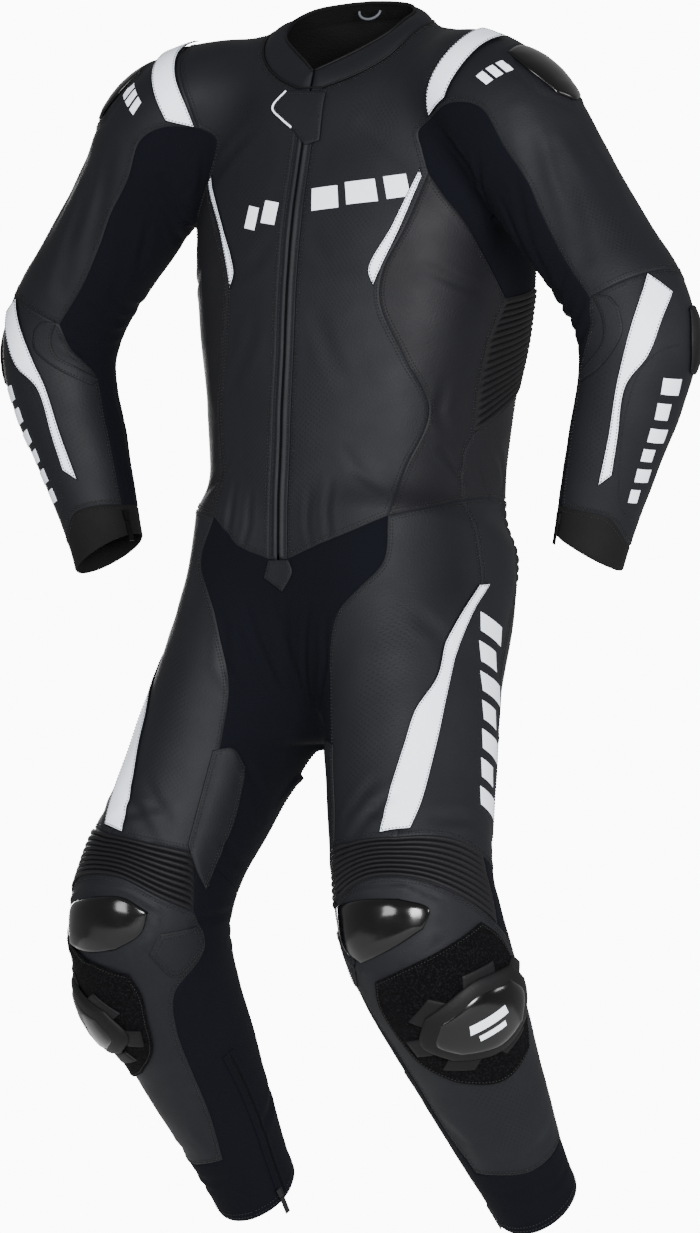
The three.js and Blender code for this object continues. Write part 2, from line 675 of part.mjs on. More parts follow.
// Sides
addPair('side_front', (seam) => [
  patch([seam.gussetFoot, joined(seam.ribFront, seam.sideEdge), back(seam.waistSide), back(seam.sideFront)]),
], LEATHER);
addPair('side_ribs', (seam) => [
  patch([
    joined(seam.gussetSide, seam.gussetRear),
    seam.ribBack,
    back(seam.ribFoot),
    back(seam.ribFront),
  ], { ...ribbed(RIBS.side), columns: 4 }),
], STRETCH);
addPair('side_low', (seam) => [
  patch([seam.ribFoot, seam.sideBack, back(seam.waistBack), back(seam.sideEdge)]),
], LEATHER);

// Back, lumbar and seat, each one piece across the spine
addWhole('back', (seam) => [
  patch([
    joined(back(seam.shoulder), seam.neckBack),
    seam.backCentre,
    back(seam.lumbarTop),
    joined(back(seam.sideBack), back(seam.ribBack), seam.gussetBack, back(seam.yokeBack)),
  ]),
], LEATHER);
addWhole('lumbar_ribs', (seam) => [
  patch([seam.lumbarTop, seam.lumbarCentre, back(seam.lumbarFoot), back(seam.lumbarSide)],
    { ...ribbed(RIBS.lumbar), margin: undefined }),
], STRETCH);
addWhole('seat', (seam) => [
  patch([
    seam.lumbarFoot,
    joined(seam.seatCentre, seam.thighBack),
    back(seam.kneeTopBack),
    back(seam.seatEdge),
  ]),
], LEATHER);
addWhole('crotch_stretch', (seam) => [
  patch([
    joined(back(seam.waistFront), seam.zipFoot),
    joined(seam.crotchCentre, seam.thighBack),
    seam.kneeTopInside,
    back(seam.crotchFront),
  ]),
], STRETCH);

// Sleeves
addPair('sleeve', (seam) => [
  patch([seam.yokeFront, joined(seam.sleeveFront, seam.sleeveFrontLow), seam.elbowFront, back(seam.sleeveRidge)]),
  patch([seam.yokeBack, joined(seam.sleeveBack, seam.sleeveBackLow), back(seam.elbowBack), back(seam.sleeveRidge)]),
], LEATHER);
addPair('forearm', (seam) => [
  patch([seam.elbowFront, seam.forearmRidge, back(seam.cuffFront), back(seam.forearmFront)]),
  patch([seam.elbowBack, seam.forearmBack, back(seam.cuffBack), back(seam.forearmRidge)]),
], LEATHER);
addPair('underarm_stretch', (seam) => [
  patch([
    back(seam.sleeveFront),
    joined(seam.gussetTop, seam.gussetFoot, seam.gussetSide),
    seam.armpit,
    back(seam.armpitFront),
  ]),
  patch([seam.sleeveBack, back(seam.armpitBack), back(seam.armpit), joined(seam.gussetRear, seam.gussetBack)]),
  patch([
    joined(seam.sleeveFrontLow, seam.forearmFront),
    back(seam.cuffZip),
    back(seam.underarm),
    back(seam.armpitFront),
  ]),
  patch([
    seam.underarm,
    back(seam.cuffInside),
    back(joined(seam.sleeveBackLow, seam.forearmBack)),
    back(seam.armpitBack),
  ]),
], STRETCH);
addPair('cuff', (seam) => [
  patch([seam.cuffFront, seam.cuffRidge, back(seam.cuffEdgeFront), back(seam.cuffSlit)]),
  patch([seam.cuffBack, seam.cuffRear, back(seam.cuffEdgeBack), back(seam.cuffRidge)]),
  patch([seam.cuffInside, seam.cuffUnder, back(seam.cuffEdgeInside), back(seam.cuffRear)]),
  patch([seam.cuffZip, seam.cuffSlit, back(seam.cuffEdgeZip), back(seam.cuffUnder)]),
], STRETCH);

// Legs
addPair('thigh_front', (seam) => [
  patch([seam.waistSide, seam.thighStripe, back(seam.kneeTopInner), back(seam.crotchFront)]),
], LEATHER);
addPair('thigh_outer', (seam) => [
  patch([
    seam.waistBack,
    joined(seam.lumbarSide, seam.seatEdge),
    back(joined(seam.kneeTopOuter, seam.kneeTopSide)),
    back(seam.thighStripe),
  ]),
], LEATHER);
addPair('knee_ribs', (seam) => [
  patch([
    joined(seam.kneeTopInner, seam.kneeTopOuter),
    seam.kneeEdgeOuter,
    back(seam.kneeFoot),
    back(seam.kneeEdgeInner),
  ], ribbed(RIBS.knee)),
], STRETCH);
addPair('shin', (seam) => [
  patch([seam.kneeFoot, seam.shinOuter, back(seam.shinFoot), back(seam.shinInner)]),
], LEATHER);
addPair('calf_stretch', (seam) => [
  patch([
    seam.kneeTopInside,
    joined(seam.kneeEdgeInner, seam.shinInner),
    back(seam.calfFootInner),
    back(seam.calf),
  ]),
  patch([
    back(joined(seam.kneeTopSide, seam.kneeTopBack)),
    joined(seam.kneeEdgeOuter, seam.shinOuter),
    seam.calfFootOuter,
    back(seam.calf),
  ]),
  patch([seam.shinFoot, seam.ankleOuter, back(seam.hemFront), back(seam.ankleInner)]),
  patch([seam.calfFootOuter, seam.ankleBack, back(seam.hemOuter), back(seam.ankleOuter)]),
  patch([seam.calfFootInner, seam.ankleInner, back(seam.hemInner), back(seam.ankleBack)]),
], STRETCH);

// Applied pieces: corners on the body, sides through the places between them, lifted clear of what is under them
const sheet = (sides, options) => patch(sides.map((side) => line(side, FINE)), options);
const applied = (thickness, lift = LIFT) => ({ bottom: lift, top: lift + thickness, inset: 0 });
const dome = (height) => ({ lift: (u, v) => height * Math.sin(Math.PI * u) ** 0.6 * Math.sin(Math.PI * v) ** 0.6 });

addPair('chest_stripe', ({ T }) => {
  const [top, topOuter, low, tip] = [T(-139, 61), T(-149, 61.5), T(-246, 45.6, 37.4), T(-266, 42.5, 35)];
  return [sheet([
    [top, topOuter],
    [topOuter, T(-200, 53.5, 46), low],
    [low, tip],
    [tip, T(-248, 40.5, 33), T(-200, 50, 43), top],
  ])];
}, WHITE, applied(1.2, 0.4));
addPair('shoulder_stripe', ({ A }) => {
  const [top, topOuter, low, tip] = [A(138, 78), A(160, 78), A(178, -12), A(153, -33)];
  return [sheet([
    [top, topOuter],
    [topOuter, A(166, 48), A(172, 20), low],
    [low, tip],
    [tip, A(150, -15), A(150, 15), A(146, 45), top],
  ])];
}, WHITE, applied(1.2, 2.6));
addPair('shoulder_cup', ({ A }) => {
  const [a, b, c, d] = [A(180, 50), A(178, 108), A(232, 104), A(230, 56)];
  return [sheet([[a, A(172, 80), b], [b, A(205, 112), c], [c, A(238, 80), d], [d, A(205, 48), a]], dome(7))];
}, GLOSS, applied(2, 1.2));
addPair('sleeve_stripe', ({ A }) => {
  const [top, side, foot, footInner] = [A(449, 44), A(467, 64), A(632, 16), A(648, 2)];
  return [sheet([
    [top, side],
    [side, A(485, 44), A(508, 28), A(536, 10), A(590, 13), foot],
    [foot, footInner],
    [footInner, A(590, 2), A(536, 0), A(502, 6), top],
  ])];
}, WHITE, applied(1.2, 1.2));
addPair('elbow_slider', ({ A }) => {
  const [a, b, c, d] = [A(474, 80), A(474, 112), A(528, 108), A(528, 78)];
  return [sheet([[a, A(470, 96), b], [b, A(500, 116), c], [c, A(532, 93), d], [d, A(500, 74), a]], dome(4))];
}, GLOSS, applied(2, 1.8));
addPair('thigh_stripe', ({ T, L }) => {
  const [top, topOuter, low, lowInner] = [T(-583, 82), T(-582, 89), L(364, 31), L(366, 9)];
  return [sheet([
    [top, topOuter],
    [topOuter, L(100, 84), L(154, 67), L(202, 57), L(278, 48), L(341, 39), low],
    [low, lowInner],
    [lowInner, L(330, 17), L(269, 27), L(228, 34), L(186, 49), L(141, 59), L(109, 71), top],
  ])];
}, WHITE, applied(1.2));
addPair('knee_plate', ({ L }) => {
  const [a, b, c, d] = [L(418, -36), L(414, 30), L(444, 36), L(448, -28)];
  return [sheet([[a, L(410, 0), b], [b, L(428, 44), c], [c, L(454, 4), d], [d, L(434, -40), a]], dome(4))];
}, GLOSS, applied(2, 1.6));
addPair('puck_base', ({ L }) => {
  const [a, b, c, d] = [L(460, -15), L(442, 74), L(592, 92), L(578, 16)];
  return [sheet([
    [a, L(454, 11), L(450, 36), b],
    [b, L(466, 92), L(500, 102), L(545, 104), c],
    [c, L(603, 54), d],
    [d, L(548, -7), L(508, -16), L(480, -20), a],
  ])];
}, PILE, applied(1.4, 1.8));
addPair('knee_puck', ({ L }) => {
  const [a, b, c, d] = [L(496, 14), L(490, 90), L(554, 92), L(548, 22)];
  return [sheet([[a, L(482, 52), b], [b, L(522, 106), c], [c, L(562, 58), d], [d, L(522, 4), a]], dome(9))];
}, GLOSS, applied(3, 4.7));

// Throat flap over the top of the zip, and the tab sewn over its foot
const chest = halves.left.T;
const chestRight = halves.right.T;
add('throat_flap', wall([sheet([
  [chestRight(-57, 16), chest(-57, 0), chest(-58, 15)],
  [chest(-58, 15), chest(-108, 12)],
  [chest(-108, 12), chest(-112, 3)],
  [chest(-112, 3), chestRight(-92, 10), chestRight(-72, 25), chestRight(-57, 16)],
])], applied(1.5)), LEATHER);
add('front_tab', wall([sheet([
  [chestRight(-557, 4.5), chest(-557, 6)],
  [chest(-557, 6), chest(-570, 8), chest(-591, 2.5)],
  [chest(-591, 2.5), chestRight(-576, 7)],
  [chestRight(-576, 7), chestRight(-557, 4.5)],
])], applied(1.8)), LEATHER);

// Stand-up collar: a band from the neck seam to its top edge, open at the throat
const collarTop = new THREE.CatmullRomCurve3(COLLAR_TOP.map((p) => new THREE.Vector3(p.x, p.y, p.z)));
function collarPatch(seam, side) {
  const foot = joined(seam.throat, seam.neckFront, seam.neckBack).map((p) => p.clone());
  const length = pathLength(foot);
  const top = foot.map((p, i) => collarTop.getPointAt(pathLength(foot.slice(0, i + 1)) / length));
  for (const p of top) p.x *= side;
  foot[0].x = top[0].x;
  const rise = (a, b) => [0, 1, 2, 3].map((i) => a.clone().lerp(b, i / 3));
  const last = foot.length - 1;
  return patch([foot, rise(foot[last], top[last]), back(top), rise(top[0], foot[0])], {
    free: true,
    rows: 3,
    lift: (u, v) => COLLAR.bulge * Math.sin(Math.PI * v),
  });
}
const collarNormals = (points) => points.map((p) => {
  const { normal } = bodyNormal(p);
  const lean = new THREE.Vector3(p.x, p.y + 22, 0).normalize().setZ(0.8).normalize();
  return normal.lerp(lean, clamp(bodyField(p) / 6, 0, 1)).normalize();
});
add('collar', wall([collarPatch(halves.left, 1), collarPatch(halves.right, -1)],
  { bottom: -COLLAR.wall, normals: collarNormals }), LEATHER);

// Zip sliders with pull tabs. Each tab hangs from its slider's lower end and swings away from the cloth.
const SLIDER = { length: 12, top: 8, foot: 6, height: 3 };
const TAB = { length: 22, width: 6, thickness: 1.2, clearance: 0.9 };
const ZIP_ENDS = table('name chart along turn lift', [
  ['cuff', 'A', 690, -52, 0.45],
  ['ankle', 'L', 784, -66, -0.35],
]);

function plate(lowHalf, highHalf, length, thickness) {
  const outline = new THREE.Shape();
  outline.moveTo(-highHalf, 0);
  outline.lineTo(-lowHalf, -length);
  outline.lineTo(lowHalf, -length);
  outline.lineTo(highHalf, 0);
  return new THREE.ExtrudeGeometry(outline, { depth: thickness, bevelEnabled: false });
}
function addZipEnd(half, seam, end) {
  const foot = seam[end.chart](end.along, end.turn);
  const down = seam[end.chart](end.along + SLIDER.length, end.turn).sub(foot).normalize();
  const { normal } = bodyNormal(foot);
  const across = normal.clone().cross(down).normalize();
  const out = across.clone().cross(down).negate();
  const turnTo = new THREE.Matrix4().makeBasis(across, down.clone().negate(), out);
  const place = (name, geometry, shift) => {
    add(`${end.name}_${name}_${half}`, geometry, METAL);
    const mesh = suit.children[suit.children.length - 1];
    mesh.quaternion.setFromRotationMatrix(turnTo);
    mesh.position.copy(foot).addScaledVector(out, shift.out).addScaledVector(down, shift.down);
  };
  place('slider', plate(SLIDER.foot / 2, SLIDER.top / 2, SLIDER.length, SLIDER.height), { out: end.lift, down: 0 });
  const pivot = SLIDER.length + TAB.clearance;
  const middle = end.lift + SLIDER.height - TAB.thickness;
  place('tab', plate(TAB.width / 2, TAB.width / 2, TAB.length, TAB.thickness), { out: middle, down: pivot });
}
for (const [half, seam] of Object.entries(halves)) {
  for (const end of ZIP_ENDS) addZipEnd(half, seam, end);
}

export default suit;
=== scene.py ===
import json
import math

import bmesh
import bpy
import numpy as np
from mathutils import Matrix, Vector

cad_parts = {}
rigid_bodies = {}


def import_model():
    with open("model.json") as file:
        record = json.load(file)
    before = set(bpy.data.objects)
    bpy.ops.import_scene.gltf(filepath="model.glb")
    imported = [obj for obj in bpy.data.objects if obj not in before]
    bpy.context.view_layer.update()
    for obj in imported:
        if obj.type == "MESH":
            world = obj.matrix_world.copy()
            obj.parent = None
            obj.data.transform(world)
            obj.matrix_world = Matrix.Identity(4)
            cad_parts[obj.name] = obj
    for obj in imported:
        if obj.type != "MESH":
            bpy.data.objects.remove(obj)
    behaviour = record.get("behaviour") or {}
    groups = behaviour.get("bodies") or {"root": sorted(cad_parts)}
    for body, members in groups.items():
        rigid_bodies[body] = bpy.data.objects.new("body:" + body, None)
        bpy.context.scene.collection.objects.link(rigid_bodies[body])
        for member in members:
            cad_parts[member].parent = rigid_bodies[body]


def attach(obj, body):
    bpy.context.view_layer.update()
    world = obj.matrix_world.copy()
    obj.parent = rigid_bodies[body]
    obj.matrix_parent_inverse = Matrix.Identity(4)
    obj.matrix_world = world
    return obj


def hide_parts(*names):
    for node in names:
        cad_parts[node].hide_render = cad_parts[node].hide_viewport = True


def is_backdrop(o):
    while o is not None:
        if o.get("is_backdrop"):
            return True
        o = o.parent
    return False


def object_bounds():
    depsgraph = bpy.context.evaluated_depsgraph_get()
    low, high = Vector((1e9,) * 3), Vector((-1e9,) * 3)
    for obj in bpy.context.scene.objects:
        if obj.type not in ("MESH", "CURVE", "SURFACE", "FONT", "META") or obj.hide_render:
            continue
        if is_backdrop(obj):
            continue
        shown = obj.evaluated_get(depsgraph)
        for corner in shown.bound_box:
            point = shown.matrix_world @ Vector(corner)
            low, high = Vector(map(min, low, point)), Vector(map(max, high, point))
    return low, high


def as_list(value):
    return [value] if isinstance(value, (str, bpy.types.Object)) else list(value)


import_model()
cad_box = [list(map(float, corner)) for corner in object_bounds()]
for name in ("Cube", "Light", "Camera"):
    if name in bpy.data.objects:
        bpy.data.objects.remove(bpy.data.objects[name])

# Front panels: two pieces of charcoal cow leather, 1.6 mm thick with their lining, perforated over the chest
# and cut from the collar to the waist. They are patterned on the form of a rider, as every other piece is.
# Lengths are in mm from here on, and turns in degrees.
FRONT_CURVE, BACK_CURVE = 2.25, 2.6     # how square the chest and the back are, from 2 for an ellipse
ARM_BLEND, LEG_BLEND = 50, 60           # how widely the limbs run into the torso
SEAT_FLOOR = -750                       # height of the lowest point of the torso
ARM_FOOT, LEG_TOP, PAST_MIDDLE = -640, -380, -60    # where a limb is looked for: above, below, how far across
# height, half width, depth to the front, depth to the back
TORSO = [
    (60, 60, 26, 48), (20, 82, 36, 60), (-15, 106, 57, 82), (-54, 140, 87, 110), (-112, 176, 100, 134),
    (-161, 187, 112, 148), (-197, 190, 119, 158), (-257, 187, 127, 164), (-319, 179, 131, 158),
    (-383, 168, 136, 144), (-427, 163, 139, 136), (-470, 159, 142, 133), (-513, 156, 144, 134),
    (-556, 154, 144, 136), (-600, 152, 140, 136), (-650, 144, 128, 128), (-700, 120, 100, 104),
    (-735, 70, 56, 64), (-752, 24, 20, 24),
]
# centre, half width to the outside, half depth to the front
SLEEVE = [
    (40, 10, -50, 44, 46), (110, 0, -42, 52, 54), (180, -22, -54, 62, 73), (232, -33, -91, 70, 74),
    (268, -28, -146, 69, 71), (303, -27, -194, 66, 68), (340, -27, -240, 62, 67), (372, -27, -285, 63, 66),
    (385, -27, -330, 63, 64), (376, -26, -380, 58, 59), (358, -25, -430, 52, 54), (341, -24, -480, 46, 48),
    (325, -23, -530, 41, 42), (315, -23, -562, 40, 41),
]
LEG = [
    (86, -6, -540, 76, 120), (94, -24, -605, 80, 116), (105, -44, -660, 84, 112), (117, -62, -715, 85, 107),
    (131, -81, -770, 84, 101), (145, -100, -820, 82, 95), (159, -119, -865, 82, 89), (170, -131, -905, 84, 88),
    (180, -132, -945, 86, 89), (186, -114, -990, 84, 85), (187, -85, -1035, 78, 78), (186, -52, -1080, 71, 71),
    (186, -21, -1125, 64, 64), (186, 12, -1170, 57, 57), (187, 46, -1215, 50, 51), (188, 82, -1262, 45, 47),
]


def unit(v):
    """Vectors made one long."""
    return v / (np.linalg.norm(v, axis=-1, keepdims=True) + 1e-12)


def smooth_rows(rows, steps):
    """A table's rows with smooth steps between them."""
    rows = np.asarray(rows, float)
    padded = np.vstack([2 * rows[0] - rows[1], rows, 2 * rows[-1] - rows[-2]])
    t = (np.arange(steps) / steps)[:, None]
    spans = []
    for a, b, c, d in zip(padded, padded[1:], padded[2:], padded[3:]):
        spans.append(0.5 * (2 * b + (c - a) * t + (2 * a - 5 * b + 4 * c - d) * t ** 2
                            + (3 * b - a - 3 * c + d) * t ** 3))
    return np.vstack(spans + [rows[-1:]])


torso_rows = smooth_rows(TORSO, 8)[::-1]


def torso_raw(p):
    """Roughly how far points are outside the torso; below 0 they are in it."""
    half, front, rear = (np.interp(p[:, 2], torso_rows[:, 0], torso_rows[:, k]) for k in (1, 2, 3))
    depth = np.where(p[:, 1] < 0, front, rear)
    curve = np.where(p[:, 1] < 0, FRONT_CURVE, BACK_CURVE)
    r = ((np.abs(p[:, 0]) / half) ** curve + (np.abs(p[:, 1]) / depth) ** curve) ** (1 / curve) + 1e-9
    return np.maximum(np.hypot(p[:, 0], p[:, 1]) * (1 - 1 / r), SEAT_FLOOR - p[:, 2])


class Limb:
    """An arm or a leg: ellipses along a bent line, on the wearer's left. Each row of its table is a centre, the
    half width to the outside and the half depth to the front."""

    def __init__(self, rows):
        fine = smooth_rows(rows, 6)
        self.centres, self.sizes = fine[:, :3], fine[:, 3:]
        steps = np.linalg.norm(np.diff(self.centres, axis=0), axis=1)
        self.along = np.concatenate([[0], np.cumsum(steps)])
        n = len(fine)
        nexts, lasts = np.minimum(np.arange(n) + 1, n - 1), np.maximum(np.arange(n) - 1, 0)
        tangents = unit(self.centres[nexts] - self.centres[lasts])
        forward = np.array([0, -1.0, 0])
        self.front = unit(forward - (tangents @ forward)[:, None] * tangents)
        self.outer = np.cross(self.front, tangents)
        self.packed = np.hstack([self.centres, self.front, self.outer, self.sizes])

    def nearest(self, p):
        """How far along the limb points are, from a parabola through the three nearest rows."""
        d = ((p[:, None] - self.centres[None]) ** 2).sum(-1)
        i = np.clip(d.argmin(1), 1, len(self.centres) - 2)
        rows = np.arange(len(p))
        d0, d1, d2 = d[rows, i - 1], d[rows, i], d[rows, i + 1]
        s0, s1, s2 = self.along[i - 1], self.along[i], self.along[i + 1]
        den = (s0 - s1) * (s0 - s2) * (s1 - s2)
        a = (s2 * (d1 - d0) + s1 * (d0 - d2) + s0 * (d2 - d1)) / den
        b = (s2 ** 2 * (d0 - d1) + s1 ** 2 * (d2 - d0) + s0 ** 2 * (d1 - d2)) / den
        foot = np.where(np.abs(a) > 1e-12, -b / (2 * np.where(np.abs(a) > 1e-12, a, 1)), s1)
        return np.clip(foot, s0, s2)

    def frame(self, along):
        """The centres, the ways to the front and the outside, and the half widths and depths along the limb."""
        along = np.clip(along, 0, self.along[-1])
        i = np.clip(np.searchsorted(self.along, along, side="right") - 1, 0, len(self.along) - 2)
        t = ((along - self.along[i]) / (self.along[i + 1] - self.along[i]))[:, None]
        v = self.packed[i] * (1 - t) + self.packed[i + 1] * t
        return v[:, :3], unit(v[:, 3:6]), unit(v[:, 6:9]), v[:, 9], v[:, 10]

    def value(self, q):
        """How far points are outside the limb, rounded off past its ends."""
        centre, front, outer, half, depth = self.frame(self.nearest(q))
        v = q - centre
        a, b = (v * outer).sum(1), (v * front).sum(1)
        r = np.hypot(a / half, b / depth) + 1e-9
        side = np.hypot(a, b) * (1 - 1 / r)
        past = (v * np.cross(outer, front)).sum(1)
        return np.where(np.abs(past) <= 3, side, np.hypot(np.maximum(side, 0), past))


arm, leg = Limb(SLEEVE), Limb(LEG)


def body_value(p):
    """How far points are outside the rider's form, with its limbs run smoothly into the torso."""
    f = torso_raw(p)
    slope = (torso_raw(p + (0, 0, 4)) - f) / 4
    f = f / np.sqrt(1 + slope ** 2)
    for side in (1, -1):
        for limb, here, radius in ((arm, p[:, 2] > ARM_FOOT, ARM_BLEND), (leg, p[:, 2] < LEG_TOP, LEG_BLEND)):
            near = here & (p[:, 0] * side > PAST_MIDDLE)
            if near.any():
                g = limb.value(p[near] * (side, 1, 1))
                h = np.maximum(radius - np.abs(f[near] - g), 0) / radius
                f[near] = np.minimum(f[near], g) - h * h * radius / 4
    return f


def body_slope(p):
    """The way out of the form at points, and how fast its value grows that way."""
    h = 1.5
    shifts = np.repeat(np.vstack([np.eye(3), -np.eye(3)]) * h, len(p), axis=0)
    v = body_value(np.tile(p, (6, 1)) + shifts).reshape(6, -1)
    g = (v[:3] - v[3:]).T / (2 * h)
    return unit(g), np.linalg.norm(g, axis=1)


def onto_body(p, steps=4):
    """Points moved onto the form. Those on the suit's middle plane stay on it."""
    q = np.array(p, float).reshape(-1, 3)
    middle = np.abs(q[:, 0]) < 0.01
    for _ in range(steps):
        normal, slope = body_slope(q)
        q -= normal * np.clip(body_value(q) / np.maximum(slope, 0.3), -25, 25)[:, None]
        q[middle, 0] = 0
    return q


def first_exit(start, direction):
    """Where a ray from inside the form leaves it, found in three finer and finer searches."""
    low, high = 0.0, 320.0
    for count in (81, 21, 21):
        t = np.linspace(low, high, count)
        inside = body_value(start + t[:, None] * direction) < 0
        leaves = np.where(inside[:-1] & ~inside[1:])[0]
        low, high = (t[leaves[0]], t[leaves[0] + 1]) if len(leaves) else (low, t[1])
    return start + (low + high) / 2 * direction


def length_along(points):
    """How far each point of a line is along it."""
    return np.concatenate([[0], np.cumsum(np.linalg.norm(np.diff(points, axis=0), axis=1))])


def walk(points, fractions):
    """Places at shares of a line's length."""
    s = length_along(points)
    return np.stack([np.interp(np.asarray(fractions) * s[-1], s, points[:, k]) for k in range(3)], -1)


def smooth_curve(places, count):
    """A smooth curve through places, as evenly spaced points."""
    p = np.array(places, float)
    if len(p) == 2:
        return p[0] + np.linspace(0, 1, count)[:, None] * (p[1] - p[0])
    p = np.vstack([2 * p[0] - p[1], p, 2 * p[-1] - p[-2]])
    out = []
    t = np.linspace(0, 1, 24, endpoint=False)[:, None]
    for a, b, c, d in zip(p, p[1:], p[2:], p[3:]):
        u, v, w = (max(np.linalg.norm(y - x), 1e-4) ** 0.5 for x, y in ((a, b), (b, c), (c, d)))
        m = ((b - a) / u - (c - a) / (u + v) + (c - b) / v) * v
        n = ((c - b) / v - (d - b) / (v + w) + (d - c) / w) * v
        out.append(b + m * t + (3 * (c - b) - 2 * m - n) * t ** 2 + (2 * (b - c) + m + n) * t ** 3)
    return walk(np.vstack(out + [p[-2:-1]]), np.linspace(0, 1, count))


STEP = 4.6      # mm between points of the cloth


def seam(places, step=STEP):
    """A cut line on the form through places. Both pieces that meet at a seam share its points."""
    fine = onto_body(smooth_curve(places, 10 * len(places)), 3)
    fine[0], fine[-1] = places[0], places[-1]
    cut = walk(fine, np.linspace(0, 1, max(2, round(length_along(fine)[-1] / step)) + 1))
    cut[1:-1] = onto_body(cut[1:-1], 2)
    return cut


def joined(*parts):
    """Lines that follow on from each other, as one."""
    return np.vstack([parts[0]] + [part[1:] for part in parts[1:]])


def back(points):
    """A line walked the other way."""
    return points[::-1]


TWIST = {"upper": 14, "lower": 10, "leg": 6}    # degrees that the limbs are turned to the wearer's left
# places on the neck seam, from the throat round the wearer's left to the back
NECK = [(46, -73, -41), (71, -58, -29), (87, -45, -16), (96, -29, -2), (99, -12, 12), (92, 12, 20),
        (60, 45, 26), (0, 56, 28)]
NECK_SIDE = 4


def ramp(v, low, span):
    """A value's rise from 0 at low to 1 a span above it."""
    return np.clip((v - low) / span, 0, 1)


class Half:
    """One half of the suit. A turn is 0 in front, 90 outside, 180 behind and -90 inside."""

    def __init__(self, side):
        self.side = side
        self.name = "left" if side > 0 else "right"

    def mirror(self, p):
        """Places of the left half moved to this one."""
        return np.asarray(p, float) * (self.side, 1, 1)

    def T(self, z, left, right=None):
        """A place on the torso. A second turn is for the right half, because the rider is turned a little."""
        a = math.radians(left if self.side > 0 or right is None else right)
        return self.mirror(first_exit(np.array([0, 0, z], float), np.array([math.sin(a), -math.cos(a), 0])))

    def on_limb(self, limb, along, turn):
        """A place on the form where a ray from a limb's middle leaves it."""
        centre, front, outer, _, _ = (v[0] for v in limb.frame(np.array([along], float)))
        a = math.radians(turn)
        return self.mirror(first_exit(centre, unit(front * math.cos(a) + outer * math.sin(a))))

    def A(self, along, turn):
        """A place on the sleeve, by its distance along the arm."""
        twist = TWIST["upper"] * ramp(along, 150, 70) + TWIST["lower"] * ramp(along, 450, 230)
        return self.on_limb(arm, along, turn + self.side * twist)

    def L(self, along, turn):
        """A place on the leg, by its distance along it."""
        return self.on_limb(leg, along, turn + self.side * TWIST["leg"] * ramp(along, 120, 80))

    def P(self, x, y, z):
        """The place on the form nearest a point."""
        return self.mirror(onto_body([(x, y, z)], 8)[0])


halves = (Half(1), Half(-1))
for h in halves:
    T, A, L, P = h.T, h.A, h.L, h.P
    throat = T(-53, 0)
    h.collar_front = T(-52, 8)
    zip_chest = T(-150, 6.2)
    neck = [P(*place) for place in NECK]
    h.neck_side = neck[NECK_SIDE]
    h.neck_rear = neck[-1]
    h.shoulder_tip = A(148, 100)
    h.chest_point = A(152, -35)
    h.stripe_point = T(-145, 63.5)
    h.hip_front = T(-510, 47, 33)
    h.zip_foot_centre = T(-557, 0)
    zip_side = T(-556, 4.8)
    h.throat = seam([throat, h.collar_front])
    h.zip_chest = seam([h.collar_front, T(-100, 6.8), zip_chest])
    h.zip_edge = seam([zip_chest, T(-225, 5.5), T(-340, 5), T(-465, 4.8), zip_side])
    h.zip_foot = seam([zip_side, h.zip_foot_centre])
    h.neck_front = seam([h.collar_front] + neck[:NECK_SIDE + 1])
    h.neck_back = seam(neck[NECK_SIDE:])
    h.shoulder = seam([h.neck_side, P(150, 2, 12), h.shoulder_tip])
    h.yoke_front = seam([h.shoulder_tip, A(144, 60), A(147, 20), A(148, -15), h.chest_point])
    h.chest = seam([h.stripe_point, T(-150, 45), T(-151, 25), zip_chest])
    h.gusset_top = seam([h.chest_point, T(-101, 61), T(-120, 62), h.stripe_point])
    h.side_front = seam([h.stripe_point, T(-200, 55, 48), T(-250, 46, 38), T(-284, 45, 37), T(-341, 54, 38),
                         T(-398, 64, 40), T(-459, 55, 36), h.hip_front])
    h.waist_front = seam([zip_side, T(-541, 20), T(-526, 34, 26), h.hip_front])

# how fast the slow waves of worn cloth run along x, y and z, and their height in mm
WORN_WAVES = ((0.047, 0.031, 0.023, 0.35), (-0.021, 0.043, 0.035, 0.3), (0.09, -0.05, 0.06, 0.14))
FOLDS = []      # each the places, half width and depth of a crease


def crease(places, width, depth):
    """A crease worn into the cloth along places; width is half of it, and a depth below 0 is a padded ridge."""
    FOLDS.append((np.array(places), width, depth))


def distance_to(points, places):
    """How far points are from a line of places, and how far along it, from 0 to 1."""
    best, along = np.full(len(points), 1e9), np.zeros(len(points))
    s = length_along(places)
    for k, (a, b) in enumerate(zip(places, places[1:])):
        t = np.clip((points - a) @ (b - a) / ((b - a) @ (b - a)), 0, 1)
        d = np.linalg.norm(points - a - t[:, None] * (b - a), axis=1)
        nearer = d < best
        best[nearer] = d[nearer]
        along[nearer] = (s[k] + t * (s[k + 1] - s[k]))[nearer] / s[-1]
    return best, along


def relief(p):
    """How far the cloth stands out at points: slow waves of worn cloth, less its creases."""
    lift = np.zeros(len(p))
    for k, (x, y, z, size) in enumerate(WORN_WAVES):
        lift += size * np.sin(p @ (x, y, z) + 1.7 * k) * np.sin(p @ (y, -z, x) + 0.6)
    for places, width, depth in FOLDS:
        reach = 4 * width
        near = np.all((p > places.min(0) - reach) & (p < places.max(0) + reach), axis=1)
        if near.any():
            d, t = distance_to(p[near], places)
            d = d / width
            ring = np.allclose(places[0], places[-1])
            fade = 1 if ring else np.sin(math.pi * np.clip(0.06 + 0.88 * t, 0, 1)) ** 0.7
            lift[near] += depth * fade * (0.45 * np.exp(-(d - 1.7) ** 2 * 1.6) - np.exp(-d * d))
    return lift


